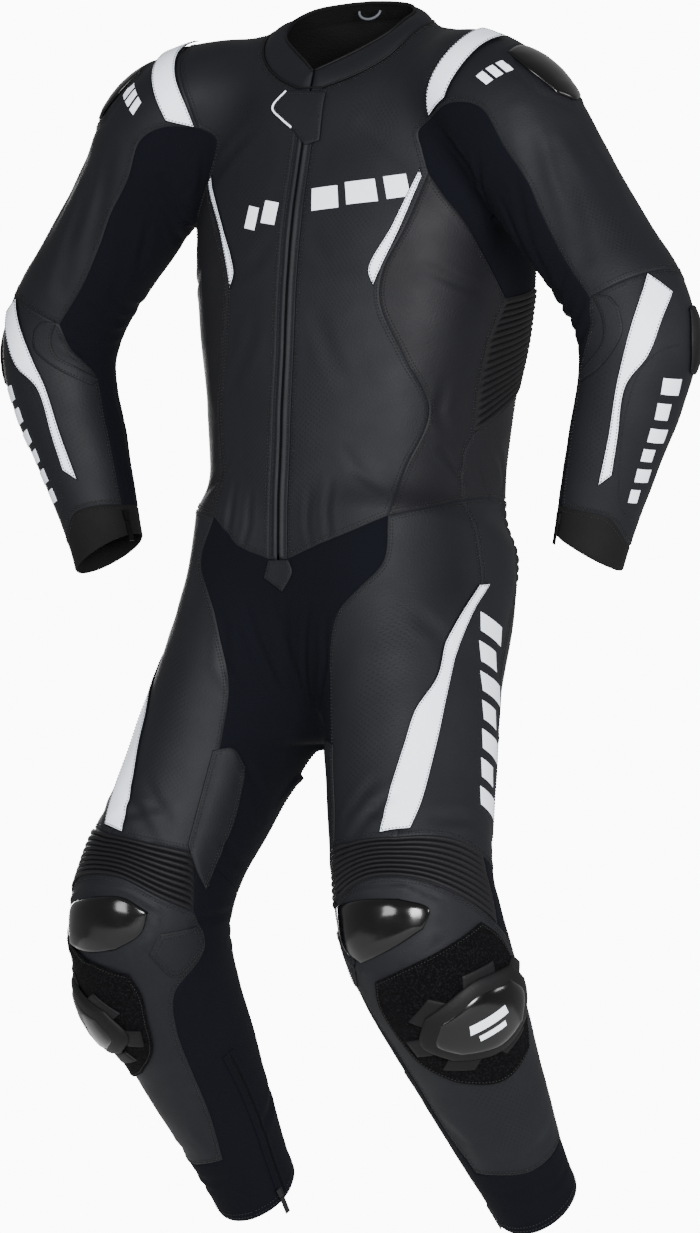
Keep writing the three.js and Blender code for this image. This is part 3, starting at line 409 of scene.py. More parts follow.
def patch(sides, rows=None, columns=None, lift=None, free=False):
    """Cloth between four cut lines that follow each other round: its points, triangles, flat places and the
    height of any quilting, which lift gives from places that run from 0 to 1."""
    bottom, right, top, left = sides
    mean = lambda a, b: (length_along(a)[-1] + length_along(b)[-1]) / 2
    wide, high = mean(bottom, top), mean(left, right)
    columns = columns or max(3, round(wide / STEP))
    rows = rows or max(3, round(high / STEP))
    u, v = np.meshgrid(np.arange(1, columns) / columns, np.arange(1, rows) / rows)
    uu, vv = u[..., None], v[..., None]
    f, g = u[0], v[:, 0]
    grid = (walk(bottom, f)[None] * (1 - vv) + walk(top, 1 - f)[None] * vv
            + walk(left, 1 - g)[:, None] * (1 - uu) + walk(right, g)[:, None] * uu
            - bottom[0] * (1 - uu) * (1 - vv) - right[0] * uu * (1 - vv) - top[0] * uu * vv
            - left[0] * (1 - uu) * vv)
    inner = grid.reshape(-1, 3)
    if not free:
        inner = onto_body(inner, 5)
    count = len(inner)
    index = np.arange(count).reshape(rows - 1, columns - 1)
    a, b, c, d = (m.ravel() for m in (index[:-1, :-1], index[:-1, 1:], index[1:, 1:], index[1:, :-1]))
    short = np.linalg.norm(inner[a] - inner[c], axis=1) < np.linalg.norm(inner[b] - inner[d], axis=1)
    faces = [np.stack([a, b, np.where(short, c, d)], -1), np.stack([np.where(short, a, b), c, d], -1)]
    ring = [(index[0, i - 1], i / columns) for i in range(1, columns)]
    ring += [(index[j - 1, -1], 1 + j / rows) for j in range(1, rows)]
    ring += [(index[-1, i - 1], 2 + (columns - i) / columns) for i in range(columns - 1, 0, -1)]
    ring += [(index[j - 1, 0], 3 + (rows - j) / rows) for j in range(rows - 1, 0, -1)]
    ring.append((ring[0][0], 4 + 1 / columns))
    points, places, edge = [inner], [np.stack([u.ravel(), v.ravel()], -1)], []
    corners = np.array([(0, 0), (1, 0), (1, 1), (0, 1), (0, 0)], float)
    for k, side in enumerate(sides):
        part = length_along(side) / length_along(side)[-1]
        edge += [(count + i, k + part[i]) for i in range(len(side) - 1)]
        points.append(side[:-1])
        places.append(corners[k] + part[:-1, None] * (corners[k + 1] - corners[k]))
        count += len(side) - 1
    edge.append((edge[0][0], 4))
    i = j = 0
    strip = []
    while i < len(edge) - 1 or j < len(ring) - 1:
        ring_ends, edge_goes_on = j == len(ring) - 1, i < len(edge) - 1
        if ring_ends or (edge_goes_on and edge[i + 1][1] <= (ring[j][1] + ring[j + 1][1]) / 2 + 1e-9):
            strip.append((edge[i][0], edge[i + 1][0], ring[j][0]))
            i += 1
        else:
            if ring[j][0] != ring[j + 1][0]:
                strip.append((edge[i][0], ring[j + 1][0], ring[j][0]))
            j += 1
    places = np.vstack(places)
    raised = lift(places[:, 0], places[:, 1]) if lift else np.zeros(count)
    raised[len(inner):] = 0
    return np.vstack(points), np.vstack(faces + [np.array(strip)]), places * (wide, high), raised


def shell(name, patches, materials, top=0.0, bottom=-1.6, gap=0.02, bevel=1.6, drop=0.9, normals=None,
          follow=True, holes=(), turned=3):
    """One piece of cloth with its thickness, from bottom to top above the form, its edges turned down. Returns
    the object and its edge lines. The groups of faces from the one numbered turned have the second material."""
    seen, points, faces, cloth, raised, corners = {}, [], [], [], [], []
    for part_points, part_faces, part_cloth, part_raised in patches:
        ids = []
        corners.append(part_cloth[part_faces])
        for p, c, r in zip(part_points, part_cloth, part_raised):
            key = tuple(np.round(p * 200).astype(int))
            if key not in seen:
                seen[key] = len(points)
                points.append(p)
                cloth.append(c)
                raised.append(r)
            ids.append(seen[key])
        faces.append(np.array(ids)[part_faces])
    points, cloth, raised = np.array(points), np.array(cloth), np.array(raised)
    normal = normals(points) if normals else body_slope(points)[0]
    kept, kept_corners = [], []
    for group, places in zip(faces, corners):
        whole = (group[:, 0] != group[:, 1]) & (group[:, 1] != group[:, 2]) & (group[:, 2] != group[:, 0])
        group, places = group[whole], places[whole]
        n = np.cross(points[group[:, 1]] - points[group[:, 0]], points[group[:, 2]] - points[group[:, 0]])
        way = 1 if (n * normal[group[:, 0]]).sum() > 0 else -1
        kept.append(group[:, ::way])
        kept_corners.append(places[:, ::way])
    faces, corners = np.vstack(kept), np.vstack(kept_corners)
    count = len(points)
    pairs = np.vstack([faces[:, [0, 1]], faces[:, [1, 2]], faces[:, [2, 0]]])
    codes = pairs[:, 0] * count + pairs[:, 1]
    open_edges = pairs[~np.isin(pairs[:, 1] * count + pairs[:, 0], codes)]
    inward = np.cross(normal[open_edges], unit(points[open_edges[:, 1]] - points[open_edges[:, 0]])[:, None])
    pull = np.zeros((count, 3))
    np.add.at(pull, open_edges.ravel(), unit(inward).reshape(-1, 3))
    rim = np.unique(open_edges)
    share = np.clip(np.linalg.norm(pull[rim], axis=1) / 2, 0.5, 1)
    pull[rim] = unit(pull[rim]) / share[:, None]
    lift = relief(points) if follow else np.zeros(count)
    place = np.full(count, -1)
    place[rim] = np.arange(len(rim))
    outer_edge = points[rim] + pull[rim] * gap
    body = points.copy()
    body[rim] += pull[rim] * (gap + bevel)
    up = normal * (lift + raised)[:, None]
    turn_down = top - drop * min(1, (top - bottom) / 1.5)
    rows = [body + up + normal * top, outer_edge + up[rim] + normal[rim] * turn_down,
            body + normal * (lift[:, None] + bottom), outer_edge + normal[rim] * (lift[rim, None] + bottom)]
    starts = np.cumsum([0] + [len(r) for r in rows])
    m, n = open_edges[:, 0], open_edges[:, 1]
    mr, nr = place[m] + starts[1], place[n] + starts[1]
    mb, nb = place[m] + starts[3], place[n] + starts[3]
    mi, ni = m + starts[2], n + starts[2]
    quads = lambda a, b, c, d: np.vstack([np.stack([a, b, c], -1), np.stack([a, c, d], -1)])
    groups = [faces, quads(n, m, mr, nr), quads(nr, mr, mb, nb), quads(nb, mb, mi, ni),
              faces[:, ::-1] + starts[2]]
    triangles = np.vstack(groups)
    mesh = bpy.data.meshes.new(name)
    mesh.from_pydata((np.vstack(rows) / 1000).tolist(), [], triangles.tolist())
    layer = mesh.uv_layers.new(name="cloth")
    flat = np.vstack([cloth, cloth[rim], cloth, cloth[rim]]) / 1000
    flat = flat[triangles]
    flat[:len(faces)], flat[-len(faces):] = corners / 1000, corners[:, ::-1] / 1000
    layer.data.foreach_set("uv", flat.astype(np.float32).ravel())
    if holes:
        mask = np.zeros(count)
        for places, radius in holes:
            mask = np.maximum(mask, ramp(radius - distance_to(points, places)[0], -4, 8))
        flags = mesh.attributes.new("perforated", "FLOAT", "POINT")
        marks = np.concatenate([mask, mask[rim], 0 * mask, 0 * mask[rim]])
        flags.data.foreach_set("value", marks.astype(np.float32))
    for material in materials:
        mesh.materials.append(material)
    slots = [np.full(len(g), int(k >= turned and len(materials) > 1)) for k, g in enumerate(groups)]
    mesh.polygons.foreach_set("material_index", np.concatenate(slots))
    mesh.shade_smooth()
    mesh.set_sharp_from_angle(angle=math.radians(55))
    piece = bpy.data.objects.new(name, mesh)
    bpy.context.scene.collection.objects.link(piece)
    return piece, {"points": points[rim], "pull": pull[rim], "pairs": place[open_edges], "top": top}


def add_node(tree, kind, inputs=None, **settings):
    """A node with its settings, its inputs set or linked."""
    made = tree.nodes.new(kind)
    for key, value in settings.items():
        setattr(made, key, value)
    for key, value in (inputs or {}).items():
        if isinstance(value, bpy.types.NodeSocket):
            tree.links.new(value, made.inputs[key])
        else:
            made.inputs[key].default_value = value
    return made


def linear(colour):
    """An sRGB hex colour in linear light."""
    parts = [int(colour[i:i + 2], 16) / 255 for i in (1, 3, 5)]
    return [v / 12.92 if v <= 0.04045 else ((v + 0.055) / 1.055) ** 2.4 for v in parts] + [1.0]


def per_metre(size):
    """A pattern's scale from the size in mm of what repeats."""
    return 1000 / size


def finish(name, colour, roughness, **sockets):
    """A material of one finish, with its tree and its shader."""
    material = bpy.data.materials.new(name)
    material.use_nodes = True
    tree = material.node_tree
    shader = tree.nodes["Principled BSDF"]
    shader.inputs["Base Color"].default_value = linear(colour)
    shader.inputs["Roughness"].default_value = roughness
    for key, value in sockets.items():
        shader.inputs[key.replace("_", " ")].default_value = value
    return material, tree, shader


GRAIN, CLOUDS = 2.0833, 45.4545     # mm: pebbles of the grain, and patches of another tone where it is worn
PERFORATION_PITCH = 4.386           # mm


def leather(name, colour, deep, roughness=0.5, pores=False):
    """Full-grain leather or a cloth like it: a fine pebbled grain, drawn 2 mm wide so that it shows, over slow
    changes of tone. It gives a soft, broken sheen where light falls along it."""
    material, tree, shader = finish(name, colour, roughness, IOR=1.5, Specular_IOR_Level=0.17)
    place = add_node(tree, "ShaderNodeTexCoord").outputs["Object"]
    grain = add_node(tree, "ShaderNodeTexVoronoi", {"Vector": place, "Scale": per_metre(GRAIN)})
    cloudy = add_node(tree, "ShaderNodeTexNoise", {"Vector": place, "Scale": per_metre(CLOUDS), "Detail": 4.0})
    tone = add_node(tree, "ShaderNodeMix", {"Factor": cloudy.outputs["Fac"], 6: linear(colour),
                                            7: linear(deep)}, data_type="RGBA")
    gloss = add_node(tree, "ShaderNodeMapRange", {"Value": cloudy.outputs["Fac"], "To Min": roughness - 0.08,
                                                  "To Max": roughness + 0.1})
    bump = add_node(tree, "ShaderNodeBump", {"Height": grain.outputs["Distance"], "Strength": 0.25,
                                             "Distance": 0.0006})
    shade = tone.outputs[2]
    if pores:
        # punched holes, drawn 2 mm wide so that they show and really 1.2 mm, in crossing rows where marked
        uv = add_node(tree, "ShaderNodeUVMap", uv_map="cloth").outputs["UV"]
        rows_a_metre = per_metre(PERFORATION_PITCH)
        turn = add_node(tree, "ShaderNodeMapping", {"Vector": uv, "Rotation": (0, 0, math.pi / 4),
                                                    "Scale": (rows_a_metre, rows_a_metre, rows_a_metre)})
        cell = add_node(tree, "ShaderNodeVectorMath", {0: turn.outputs["Vector"]}, operation="FRACTION")
        level = add_node(tree, "ShaderNodeVectorMath", {0: cell.outputs["Vector"], 1: (1, 1, 0)},
                         operation="MULTIPLY")
        far = add_node(tree, "ShaderNodeVectorMath", {0: level.outputs["Vector"], 1: (0.5, 0.5, 0)},
                       operation="DISTANCE")
        hole = add_node(tree, "ShaderNodeMapRange", {"Value": far.outputs["Value"], "From Min": 0.17,
                                                     "From Max": 0.27, "To Min": 0.9, "To Max": 0.0})
        zone = add_node(tree, "ShaderNodeAttribute", attribute_name="perforated").outputs["Fac"]
        shown = add_node(tree, "ShaderNodeMath", {0: hole.outputs["Result"], 1: zone}, operation="MULTIPLY")
        shade = add_node(tree, "ShaderNodeMix", {"Factor": shown.outputs[0], 6: shade, 7: linear("#060607")},
                         data_type="RGBA").outputs[2]
    tree.links.new(shade, shader.inputs["Base Color"])
    tree.links.new(gloss.outputs["Result"], shader.inputs["Roughness"])
    tree.links.new(bump.outputs["Normal"], shader.inputs["Normal"])
    return material


# Cow leather, dyed through and finished matt: near black with a cool sheen on every bulge.
charcoal = leather("cow leather, charcoal, perforated", "#101116", "#0c0d11", 0.62, pores=True)
# Polyester mesh, knitted with 3 mm holes: it takes up the light, so that the openings look deep.
LINING_HOLES = 2.857    # mm
lining, lining_tree, lining_shader = finish("polyester mesh lining, black", "#050506", 0.95,
                                            Specular_IOR_Level=0.2)
lining_place = add_node(lining_tree, "ShaderNodeTexCoord").outputs["Object"]
lining_knit = add_node(lining_tree, "ShaderNodeTexVoronoi", {"Vector": lining_place,
                                                             "Scale": per_metre(LINING_HOLES)})
lining_bump = add_node(lining_tree, "ShaderNodeBump", {"Height": lining_knit.outputs["Distance"],
                                                       "Distance": 0.0008})
lining_tree.links.new(lining_bump.outputs["Normal"], lining_shader.inputs["Normal"])

threads = []      # each a line of places on the body, and how high over it the thread lies


def sew_edges(edges, insets):
    """Rows of stitching, each an inset in mm from the edges of a piece."""
    following = dict(edges["pairs"].tolist())
    while following:
        start, chain = next(iter(following)), []
        while start in following:
            chain.append(start)
            start = following.pop(start)
        chain.append(start)
        if len(chain) > 6:
            for inset in insets:
                line = edges["points"][chain] + edges["pull"][chain] * inset
                threads.append((line, edges["top"]))


def wear(piece, node):
    """A finished piece of the suit in place of its CAD solid."""
    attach(piece, "suit")
    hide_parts(node)


def cloth(name, node, patches, materials, slot, cut, on=(), rows=(2.6,), **options):
    """A piece of cloth. Its cut, the width, length and area of what shows in metres, is not used. rows are the
    insets of its stitching from the edge, in mm."""
    piece, edges = shell(name, patches, materials, **options)
    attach(piece, "suit")
    if node:
        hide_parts(node)
    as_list(on)
    sew_edges(edges, rows)
    return piece


def on_chart(chart, places):
    """Places on the form from a table of distances and turns."""
    return np.array([chart(*place) for place in places])


for h in halves:
    T, A, L = h.T, h.A, h.L
    crease([T(-471, 25), T(-505, 24), T(-541, 25.5)], 4.5, 1.6)
    crease([T(-482, 15.6), T(-520, 15), T(-551, 18.4)], 4, 1.3)
    crease([T(-438, 30), T(-462, 36), T(-480, 45)], 6, 1.2)
    crease([T(-300, 18), T(-340, 24), T(-372, 32)], 9, 1.0)
    crease([T(-92, 40), T(-122, 52), T(-140, 58)], 8, 1.4)
    crease([T(-215, 12), T(-240, 22), T(-250, 34)], 9, 0.9)
    zones = [(on_chart(T, [(-85, 45), (-128, 32), (-180, 32), (-270, 25)]), 30),
             (on_chart(T, [(-270, 25), (-345, 22), (-418, 14), (-493, 12)]), 21)]
    cloth(f"front_panel_{h.name}", f"front_{h.name}", [
        patch([joined(h.neck_front, h.shoulder), joined(h.yoke_front, h.gusset_top), h.chest,
               back(h.zip_chest)]),
        patch([back(h.chest), h.side_front, back(h.waist_front), back(h.zip_edge)]),
    ], [charcoal, lining], "leather", (0.24, 0.52, 0.068), rows=(2.6, 5.6), holes=zones)

# Zip placket: two strips of the same leather whose rolled lips stand over the front zip, with its black woven
# tape deep in the slit between them. It is sewn to both fronts from the throat to below the waist.
LIP_GAP = 1.7                               # mm from the middle to each lip
LIP_RISE = {"left": 2.4, "right": 1.7}      # mm, the left lip lies over the right one
LIP_ROWS, LIP_COLUMNS = 130, 9


def beside(line, distance):
    """The line moved sideways on the body, to the left of one who walks along it."""
    way = unit(np.gradient(line, axis=0))
    return onto_body(line + np.cross(body_slope(line)[0], way) * distance, 3)


def straight(start, end, count):
    """Evenly spaced points from one place to another."""
    return start + np.linspace(0, 1, count)[:, None] * (end - start)


def strip(line, near, far, columns=5, **options):
    """A strip of cloth along a line, from one distance beside it to another."""
    a, b = beside(line, near), beside(line, far)
    return patch([straight(a[0], b[0], 4), b, straight(b[-1], a[-1], 4), back(a)], rows=len(line) - 1,
                 columns=columns, **options)


def rolled(height, start=0.0, end=0.55):
    """A rolled edge, high in mm, between two shares of a piece's width."""
    return lambda u, v: height * np.sin(math.pi * ramp(u, start, end - start)) ** 0.7


zip_heights = [-150, -250, -350, -465]
zip_centre = seam([throat] + [halves[1].T(z, 0) for z in zip_heights] + [halves[1].zip_foot_centre], 3.0)
zip_lips = []
for h in halves:
    lip, outer = beside(zip_centre, h.side * LIP_GAP), joined(h.zip_chest, h.zip_edge)
    zip_lips.append(patch([straight(lip[0], outer[0], 4), outer, straight(outer[-1], lip[-1], 4), back(lip)],
                          rows=LIP_ROWS, columns=LIP_COLUMNS, lift=rolled(LIP_RISE[h.name], 0, 0.5)))
cloth("zip_placket_cover", "zip_placket", zip_lips, [charcoal, lining], "leather", (0.024, 0.52, 0.0112),
      rows=(3.0,), drop=0.3, gap=0.1, bevel=0.6)
# Polyester tape, woven in fine bars: blacker and more matt than leather, so that the slit shows as a line.
WAVES = 20 / (2 * math.pi)      # bands that a wave texture draws in one unit of its scale
TAPE_BARS = 1.2083              # mm
tape, tape_tree, tape_shader = finish("woven polyester tape, black", "#040405", 0.9, Specular_IOR_Level=0.15)
tape_uv = add_node(tape_tree, "ShaderNodeUVMap", uv_map="cloth").outputs["UV"]
tape_weave = add_node(tape_tree, "ShaderNodeTexWave", {"Vector": tape_uv,
                                                       "Scale": per_metre(TAPE_BARS) / WAVES},
                      bands_direction="Y")
tape_bump = add_node(tape_tree, "ShaderNodeBump", {"Height": tape_weave.outputs["Fac"], "Distance": 0.0006})
tape_tree.links.new(tape_bump.outputs["Normal"], tape_shader.inputs["Normal"])
cloth("main_zip_tape", None, [strip(zip_centre[2:-2], -4.0, 4.0)], [tape], None, (0.01, 0.52, 0.0041),
      on="zip_placket_cover", rows=(), top=-1.9, bottom=-2.6, gap=0, bevel=0.4, drop=0.2)

# Side panels: plain leather beside the chest from the armpit to the waist, and a short piece under the ribs.
# They are cut from a slightly warmer black hide and lapped over the fronts with two rows of stitching.
# The warmer, less blue tone sets the sides off from the chest.
side_leather = leather("cow leather, warm black", "#0e0e13", "#0a0a0e", 0.6)
for h in halves:
    T, A, P = h.T, h.A, h.P
    rib_top, rib_mid, rib_back = T(-277, 95), T(-271, 108), T(-262, 122)
    rib_foot, rib_foot_back = T(-422, 86), T(-365, 125)
    h.back_armhole = A(150, 215)
    hip_side, hip_back, h.seat_side = T(-493, 80), T(-490, 111), T(-580, 118)
    h.gusset_foot = seam([h.stripe_point, T(-170, 68), T(-200, 75), T(-240, 84), rib_top])
    h.gusset_side = seam([rib_top, rib_mid])
    h.gusset_rear = seam([rib_mid, rib_back])
    h.gusset_back = seam([rib_back, T(-215, 126), T(-165, 128), h.back_armhole])
    h.rib_front = seam([rib_top, T(-326, 88), T(-378, 86), rib_foot])
    h.rib_foot = seam([rib_foot, T(-392, 106), rib_foot_back])
    h.rib_back = seam([rib_back, T(-315, 125), rib_foot_back])
    h.side_edge = seam([rib_foot, T(-440, 82), hip_side])
    h.side_back = seam([rib_foot_back, T(-430, 120), hip_back])
    h.waist_side = seam([h.hip_front, T(-500, 64, 56), hip_side])
    h.waist_back = seam([hip_side, T(-490, 95), hip_back])
    h.rib_mid, h.hip_side, h.hip_back = rib_mid, hip_side, hip_back
    crease([T(-450, 91), T(-470, 95), T(-492, 99)], 4, 1.6)
    crease([T(-440, 70), T(-462, 78), T(-480, 88)], 5, 1.5)
    crease([T(-436, 100), T(-450, 108), T(-470, 112)], 5, 1.5)
    crease([T(-245, 60), T(-262, 72), T(-272, 86)], 6, 1.6)
    crease([T(-420, 72), T(-400, 68), T(-370, 70)], 7, 1.2)
    cloth(f"side_front_panel_{h.name}", f"side_front_{h.name}", [
        patch([h.gusset_foot, joined(h.rib_front, h.side_edge), back(h.waist_side), back(h.side_front)]),
    ], [side_leather, lining], "leather", (0.16, 0.36, 0.038), rows=(2.6, 5.4))
    cloth(f"side_low_panel_{h.name}", f"side_low_{h.name}", [
        patch([h.rib_foot, h.side_back, back(h.waist_back), back(h.side_edge)]),
    ], [side_leather, lining], "leather", (0.11, 0.14, 0.0098))

# Accordion panels at the sides: elastic cloth gathered into level ribs, so that the rider can bend. They are
# sewn into the side and the back, and their ribs run out at their edges.
RIB_HEIGHT = 3.0    # mm
SIDE_RIBS = 18


def ribbed(count, height=RIB_HEIGHT, ends=0.05):
    """Ribs across a piece that run out over a share of its width at both ends."""
    def lift(u, v):
        fade = ramp(u, 0, ends) * ramp(1 - u, 0, ends)
        return height * np.abs(np.sin(math.pi * count * v)) ** 0.7 * fade
    return lift


# Elastic cloth, woven and black: each rib catches a thin dull line of light along its back.
dark_ribs = leather("ribbed elastic cloth, black", "#070709", "#040406", 0.6)
for h in halves:
    cloth(f"side_rib_panel_{h.name}", f"side_ribs_{h.name}", [
        patch([joined(h.gusset_side, h.gusset_rear), h.rib_back, back(h.rib_foot), back(h.rib_front)],
              rows=6 * SIDE_RIBS, columns=16, lift=ribbed(SIDE_RIBS)),
    ], [dark_ribs, lining], "stretch_textile", (0.1, 0.17, 0.014), rows=())

# Back: one piece of the fronts' leather from the collar to the lumbar ribs, joined to the sleeves at the
# shoulder blades. It is hidden in the photograph, so it is plain.
for h in halves:
    T = h.T
    crease([T(-430, 150), T(-455, 160), T(-470, 175)], 8, 2.2)
    crease([T(-405, 140), T(-425, 155), T(-432, 170)], 7, 1.6)
    crease([T(-150, 140), T(-190, 150), T(-220, 165)], 10, 1.6)
    h.shoulder_back = seam([h.shoulder_tip, h.A(146, 150), h.A(148, 185), h.back_armhole])
    spine = [h.T(z, 180) for z in (-60, -140, -260, -400, -496)]
    h.back_centre = seam([h.neck_rear] + spine)
    h.lumbar_top = seam([h.hip_back, h.T(-494, 145), spine[-1]])
cloth("back_panel", "back", [
    patch([joined(back(h.shoulder), h.neck_back), h.back_centre, back(h.lumbar_top),
           joined(back(h.side_back), back(h.rib_back), h.gusset_back, back(h.shoulder_back))]) for h in halves
], [charcoal, lining], "leather", (0.44, 0.6, 0.2))

# Lumbar ribs and seat: stretch leather tucked into ribs over the small of the back, and plain leather below it
# in one piece, down to the backs of the knees.
LUMBAR_RIBS, LUMBAR_HEIGHT = 9, 1.7     # height in mm
# Leather glued over elastic: grey lines on black where the ribs bulge.
ribs = leather("ribbed stretch leather, black", "#0d0d10", "#09090c", 0.6)
# Cow leather as on the fronts, unpunched but for a few zones: an even, cool near-black.
plain = leather("cow leather, charcoal", "#0f1015", "#0b0c10", 0.62, pores=True)
for h in halves:
    T, L, P = h.T, h.L, h.P
    h.crotch = P(0, 20, -760)
    crease([P(70, 110, -690), P(100, 108, -720), P(135, 95, -735)], 10, 2.4)
    crease([P(60, 100, -725), P(95, 95, -755), P(125, 85, -775)], 8, 2.0)
    crease([L(330, 200), L(345, 165), L(340, 130)], 8, 2.6)
    crease([L(355, 215), L(362, 180), L(352, 150)], 6, 2.2)
    h.knee_inner, h.knee_front, h.knee_outer = L(356, -46), L(371, 21), L(376, 96)
    h.knee_side, h.knee_back = L(380, 140), L(378, 215)
    h.lumbar_side = seam([h.hip_back, T(-535, 115), h.seat_side])
    h.lumbar_foot = seam([h.seat_side, T(-584, 150), T(-586, 180)])
    h.lumbar_centre = seam([T(-496, 180), T(-586, 180)])
    h.seat_centre = seam([T(-586, 180), T(-640, 180), P(0, 90, -710), h.crotch])
    h.thigh_back = seam([h.crotch, L(250, 232), L(310, 222), h.knee_back])
    h.seat_edge = seam([h.seat_side, L(150, 130), L(260, 137), h.knee_side])
    h.knee_top_side = seam([h.knee_outer, h.knee_side])
    h.knee_top_back = seam([h.knee_side, L(381, 180), h.knee_back])
cloth("lumbar_rib_panel", "lumbar_ribs", [
    patch([h.lumbar_top, h.lumbar_centre, back(h.lumbar_foot), back(h.lumbar_side)],
          rows=6 * LUMBAR_RIBS, columns=20, lift=ribbed(LUMBAR_RIBS, LUMBAR_HEIGHT, 0.001)) for h in halves
], [ribs, lining], "stretch_textile", (0.3, 0.14, 0.032), rows=())
cloth("seat_panel", "seat", [
    patch([h.lumbar_foot, joined(h.seat_centre, h.thigh_back), back(h.knee_top_back), back(h.seat_edge)])
    for h in halves
], [plain, lining], "leather", (0.5, 0.62, 0.14))

# Stretch gusset of the crotch and inner thighs: one matt cloth of nylon and elastane, knitted tightly for wear
# and overlocked to the leather round it. It bags in soft folds where the legs bend.
# The knit is drawn 1.7 mm wide so that it shows. It has no sheen, so it looks a flat blue-black beside leather.
KNIT, KNIT_CLOUDS = 1.7453, 71.4286     # mm
stretch, stretch_tree, stretch_shader = finish("knitted stretch cloth, blue-black", "#04050b", 0.9,
                                               Specular_IOR_Level=0.1)
stretch_place = add_node(stretch_tree, "ShaderNodeTexCoord").outputs["Object"]
stretch_uv = add_node(stretch_tree, "ShaderNodeUVMap", uv_map="cloth").outputs["UV"]
stretch_knit = add_node(stretch_tree, "ShaderNodeTexWave", {"Vector": stretch_uv, "Distortion": 1.0,
                                                            "Scale": per_metre(KNIT) / WAVES},
                        bands_direction="DIAGONAL")
stretch_tone = add_node(stretch_tree, "ShaderNodeTexNoise", {"Vector": stretch_place, "Detail": 3.0,
                                                             "Scale": per_metre(KNIT_CLOUDS)})
stretch_mix = add_node(stretch_tree, "ShaderNodeMix", {"Factor": stretch_tone.outputs["Fac"],
                                                       6: linear("#03040a"), 7: linear("#05060d")},
                       data_type="RGBA")
stretch_bump = add_node(stretch_tree, "ShaderNodeBump", {"Height": stretch_knit.outputs["Fac"], "Strength": 0.3,
                                                         "Distance": 0.0004})
stretch_tree.links.new(stretch_mix.outputs[2], stretch_shader.inputs["Base Color"])
stretch_tree.links.new(stretch_bump.outputs["Normal"], stretch_shader.inputs["Normal"])
for h in halves:
    T, L, P = h.T, h.L, h.P
    crease([T(-600, 3), T(-650, 1), T(-696, 4)], 6, 2.0)
    crease([T(-606, 16), T(-655, 12), T(-705, 9)], 5, 2.0)
    crease([T(-622, 24), T(-668, 24), T(-712, 20)], 6, 2.2)
    crease([L(246, -48), L(262, -70), L(275, -91)], 5, 2.2)
    crease([L(261, -60), L(280, -80), L(292, -96)], 5, 2.0)
    crease([L(330, -60), L(340, -85), L(335, -110)], 6, 2.4)
    crease([L(371, -22), L(345, 4), L(326, 25)], 6, 2.0)
    crease([L(342, -20), L(328, -4), L(311, 8)], 6, 1.8)
    crease([L(326, -12), L(346, 8), L(365, 30)], 6, 1.4)
    crease([L(352, 50), L(345, 75), L(338, 100)], 7, 1.8)
    crease([L(120, 40), L(135, 55), L(160, 60)], 9, 1.2)
    h.crotch_front = seam([h.hip_front, T(-558, 45, 38), T(-588, 36, 32), T(-612, 29, 28), L(140, -14),
                           L(180, -23), L(235, -29), L(300, -38), h.knee_inner])
    h.crotch_centre = seam([h.zip_foot_centre, T(-610, 0), T(-660, 0), P(0, -96, -710), P(0, -50, -760),
                            h.crotch])
    h.knee_top_inside = seam([h.knee_back, L(368, 265), h.knee_inner])
cloth("crotch_gusset", "crotch_stretch", [
    patch([joined(back(h.waist_front), h.zip_foot), joined(h.crotch_centre, h.thigh_back), h.knee_top_inside,
           back(h.crotch_front)]) for h in halves
], [stretch, lining], "stretch_textile", (0.36, 0.62, 0.094), rows=())

# Sleeves: leather over the shoulder and the outside of the arm down to the cuff, stretch cloth under the arm
# from the chest to the wrist, and a soft cuff that the glove goes over.
ARMPIT, ELBOW, CUFF = 335, 448, 684     # mm along the arm
